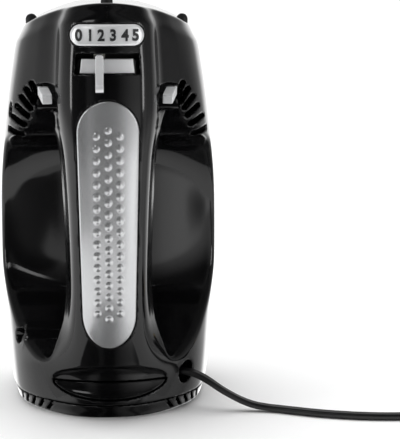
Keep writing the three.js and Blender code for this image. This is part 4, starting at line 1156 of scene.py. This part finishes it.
# Eject tabs: a wedge with a rib across its face, on a shank into the wing.
TAB_CORNERS = [  # x, z at the front, then at the back
    (23.5, 139.1), (27.8, 139.0), (27.9, 143.1), (23.6, 143.2),
    (25.7, 141.9), (30.1, 142.2), (30.2, 146.0), (25.7, 146.1),
]
TAB_FRONT, TAB_BACK = -48.0, -38.2
for side, place in ((-1, "left"), (1, "right")):
    verts = [(side * x, y, z)
             for (x, z), y in zip(TAB_CORNERS, [TAB_FRONT] * 4 + [TAB_BACK] * 4)]
    faces = [(0, 1, 2, 3), (7, 6, 5, 4), (0, 4, 5, 1), (1, 5, 6, 2), (2, 6, 7, 3), (3, 7, 4, 0)]
    tab = bevelled(f"eject_head_{place}", verts, faces, TRIM_SILVER, 0.4)
    rib = bevelled(f"eject_rib_{place}", *prism(
        rectangle(side * 23.8, side * 27.8, 141.9, 142.35), -48.35, -47.6, "y"), TRIM_SILVER, 0.12)
    shank = bevelled(f"eject_shank_{place}", *prism(
        rectangle(side * 27 - 2.1, side * 27 + 2.1, 142.7, 145.9), -39.4, -36.4, "y"),
        SATIN_BLACK, 0.3)
    declare(tab, "eject_pull", "silver_trim", f"eject_tab_{place}")
    declare(rib, "eject_pull", "silver_trim")
    declare(shank, "eject_pull", "silver_trim")

# Rubber bumpers: short domed studs on a flange.
STUD = [(0, 2.75), (0.9, 2.6), (1.7, 2.15), (2.25, 1.5), (2.55, 0.75), (2.62, 0.1),
        (2.62, -1.6), (0, -1.6)]
STUD_TURNS, STUD_SINK = 28, 0.05
for place, x, y in (("left", -34.2, 4), ("centre", 0, -36), ("right", 34.2, 4)):
    top = NOSE_Z - NOSE_DROOP * x * x
    verts = []
    for r, h in STUD:
        for k in range(STUD_TURNS):
            a = 2 * pi * k / STUD_TURNS
            verts.append((x + r * cos(a), y + r * sin(a), top + h - STUD_SINK))
    stud = mesh_piece(f"bumper_{place}", verts, tube_faces(len(STUD), STUD_TURNS), RUBBER)
    work = bmesh.new()
    work.from_mesh(stud.data)
    bmesh.ops.remove_doubles(work, verts=work.verts, dist=1e-7)
    bmesh.ops.recalc_face_normals(work, faces=work.faces)
    work.to_mesh(stud.data)
    work.free()
    declare(stud, "body", "rubber", f"nose_bumper_{place}")

# ---- the cord as one length
coil_steps = 1 + int(COIL_TOTAL / COIL_STEP)
coil_points = [coil_point(min(i * COIL_STEP, COIL_TOTAL)) for i in range(coil_steps + 1)]
cord_path = evenly(catmull(CORD_ROUTE + coil_points[1:] + TAIL, 6), CORD_STEP)
cord = sweep_flex("mains_cord", cord_path, FLEX)
declare(cord, "body", "flex_pvc", "cord_lead", "cord_coil", "cord_tail")

# Tie: a flat strap with rounded corners round the turns.
TIE = Sizes(near=INNER - 3.1, far=OUTER + 3.1, low=1.8, wide=6.5, thick=0.5, corner=1.2,
            high=COIL.bottom + COIL.layer * 5 + 0.5)


def strap():
    """The tie's corners and faces, across the coil's far side from its middle."""
    corner = TIE.corner
    near, far = TIE.near + corner, TIE.far - corner
    low, high = TIE.low, TIE.high - corner
    outline = []
    for r, z, first in ((far, low, -90), (far, high, 0), (near, high, 90), (near, low, 180)):
        for a in np.linspace(first, first + 90, 7):
            outline.append((r + corner * cos(radians(a)), z + corner * sin(radians(a))))
    verts, faces = [], []
    n = len(outline)
    for i, (r, z) in enumerate(outline):
        before, after = outline[i - 1], outline[(i + 1) % n]
        d = Vector((after[0] - before[0], after[1] - before[1])).normalized()
        for offset in (0, TIE.thick):
            for w in (-TIE.wide / 2, TIE.wide / 2):
                verts.append((COIL.x + w, COIL.y + r + d.y * offset, z - d.x * offset))
    for i in range(n):
        a, b = i * 4, ((i + 1) % n) * 4
        faces += [(a, b, b + 1, a + 1), (a + 2, a + 3, b + 3, b + 2),
                  (a, a + 2, b + 2, b), (a + 1, b + 1, b + 3, a + 3)]
    return verts, faces


tie = mesh_piece("cord_strap", *strap(), RUBBER)
declare(tie, "body", "flex_pvc", "cord_tie")

# Plug: strain relief with ribs, a moulded body with finger grips, and two flat blades.
PLUG = Sizes(x=213.0, y=28.0, z=7.4)
BLADE_X, BLADE_THICK = 6.35, 0.72
BLADE_OUTLINE = [(PLUG.y + y, PLUG.z + z) for y, z in (
    (24.1, -3.15), (39.6, -3.15), (40.9, -1.8), (40.9, 1.8), (39.6, 3.15), (24.1, 3.15))]


def lofted(name, sections, material, count):
    """A closed form through rounded sections: y, half width, half height, power."""
    verts = []
    for y, w, h, power in sections:
        for k in range(count):
            a = 2 * pi * k / count
            verts.append((PLUG.x + w * signed_power(cos(a), 2 / power), PLUG.y + y,
                          PLUG.z + h * signed_power(sin(a), 2 / power)))
    faces = tube_faces(len(sections), count)
    faces.append(tuple(range(count)))
    faces.append(tuple((len(sections) - 1) * count + k for k in range(count))[::-1])
    return mesh_piece(name, verts, faces, material)


RIDGES = 24
relief_sections = []
for i in range(RIDGES + 1):
    t = i / RIDGES
    ridge = 0.28 if i % 4 in (0, 1) else -0.1
    relief_sections.append((-12 + 11.8 * t, 3.0 + 1.1 * t + ridge, 2.4 + 1.6 * t + ridge, 2.3))
relief = lofted("strain_relief", relief_sections, RUBBER, 32)
moulding = lofted("plug_moulding", [
    (0.0, 4.6, 4.0, 2.6), (0.6, 6.2, 4.8, 2.8), (3, 6.9, 5.2, 3), (6, 6.6, 5.1, 3),
    (9, 7.4, 5.3, 3.2), (12, 9.2, 5.9, 3.6), (15, 10.1, 6.2, 4), (22.6, 10.3, 6.25, 4.4),
    (23.6, 9.9, 5.9, 4.4), (24, 9.2, 5.2, 4.4)], RUBBER, 48)
declare(relief, "body", "flex_pvc", "plug_relief")
declare(moulding, "body", "flex_pvc", "plug_body")
for side, place in ((-1, "left"), (1, "right")):
    at = PLUG.x + side * BLADE_X
    blade = bevelled(f"blade_{place}", *prism(
        BLADE_OUTLINE, at - BLADE_THICK, at + BLADE_THICK, "x"), BRASS, 0.2)
    declare(blade, "body", "brass", f"plug_blade_{place}")

# ---- the CAD's own nodes
LOOKS = {node: finish for finish, group in (
    (CARBON, ("speed_switch", "brush_left", "brush_right")),
    (NYLON, ("switch_slider", "beater_gear_left", "beater_gear_right", "cord_reel")),
    (SATIN_BLACK, ("eject_yoke", "ejector_plate", "cooling_fan", "brake_lever")),
    (COPPER, ("field_coil_back", "field_coil_front", "armature_winding_front",
              "armature_winding_rear", "commutator")),
    (LAMINATION, ("stator_core", "armature_core")),
    (BRASS, ("brush_holder_left", "brush_holder_right", "rear_bearing", "front_bearing",
             "spindle_bush_left", "spindle_bush_right")),
    (FLEX, ("cord_on_reel", "cord_inner_lead")),
) for node in group}
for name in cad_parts:
    if name not in REPLACED:
        node = bpy.data.objects[name]
        node.data.materials.clear()
        node.data.materials.append(LOOKS.get(name, STEEL))
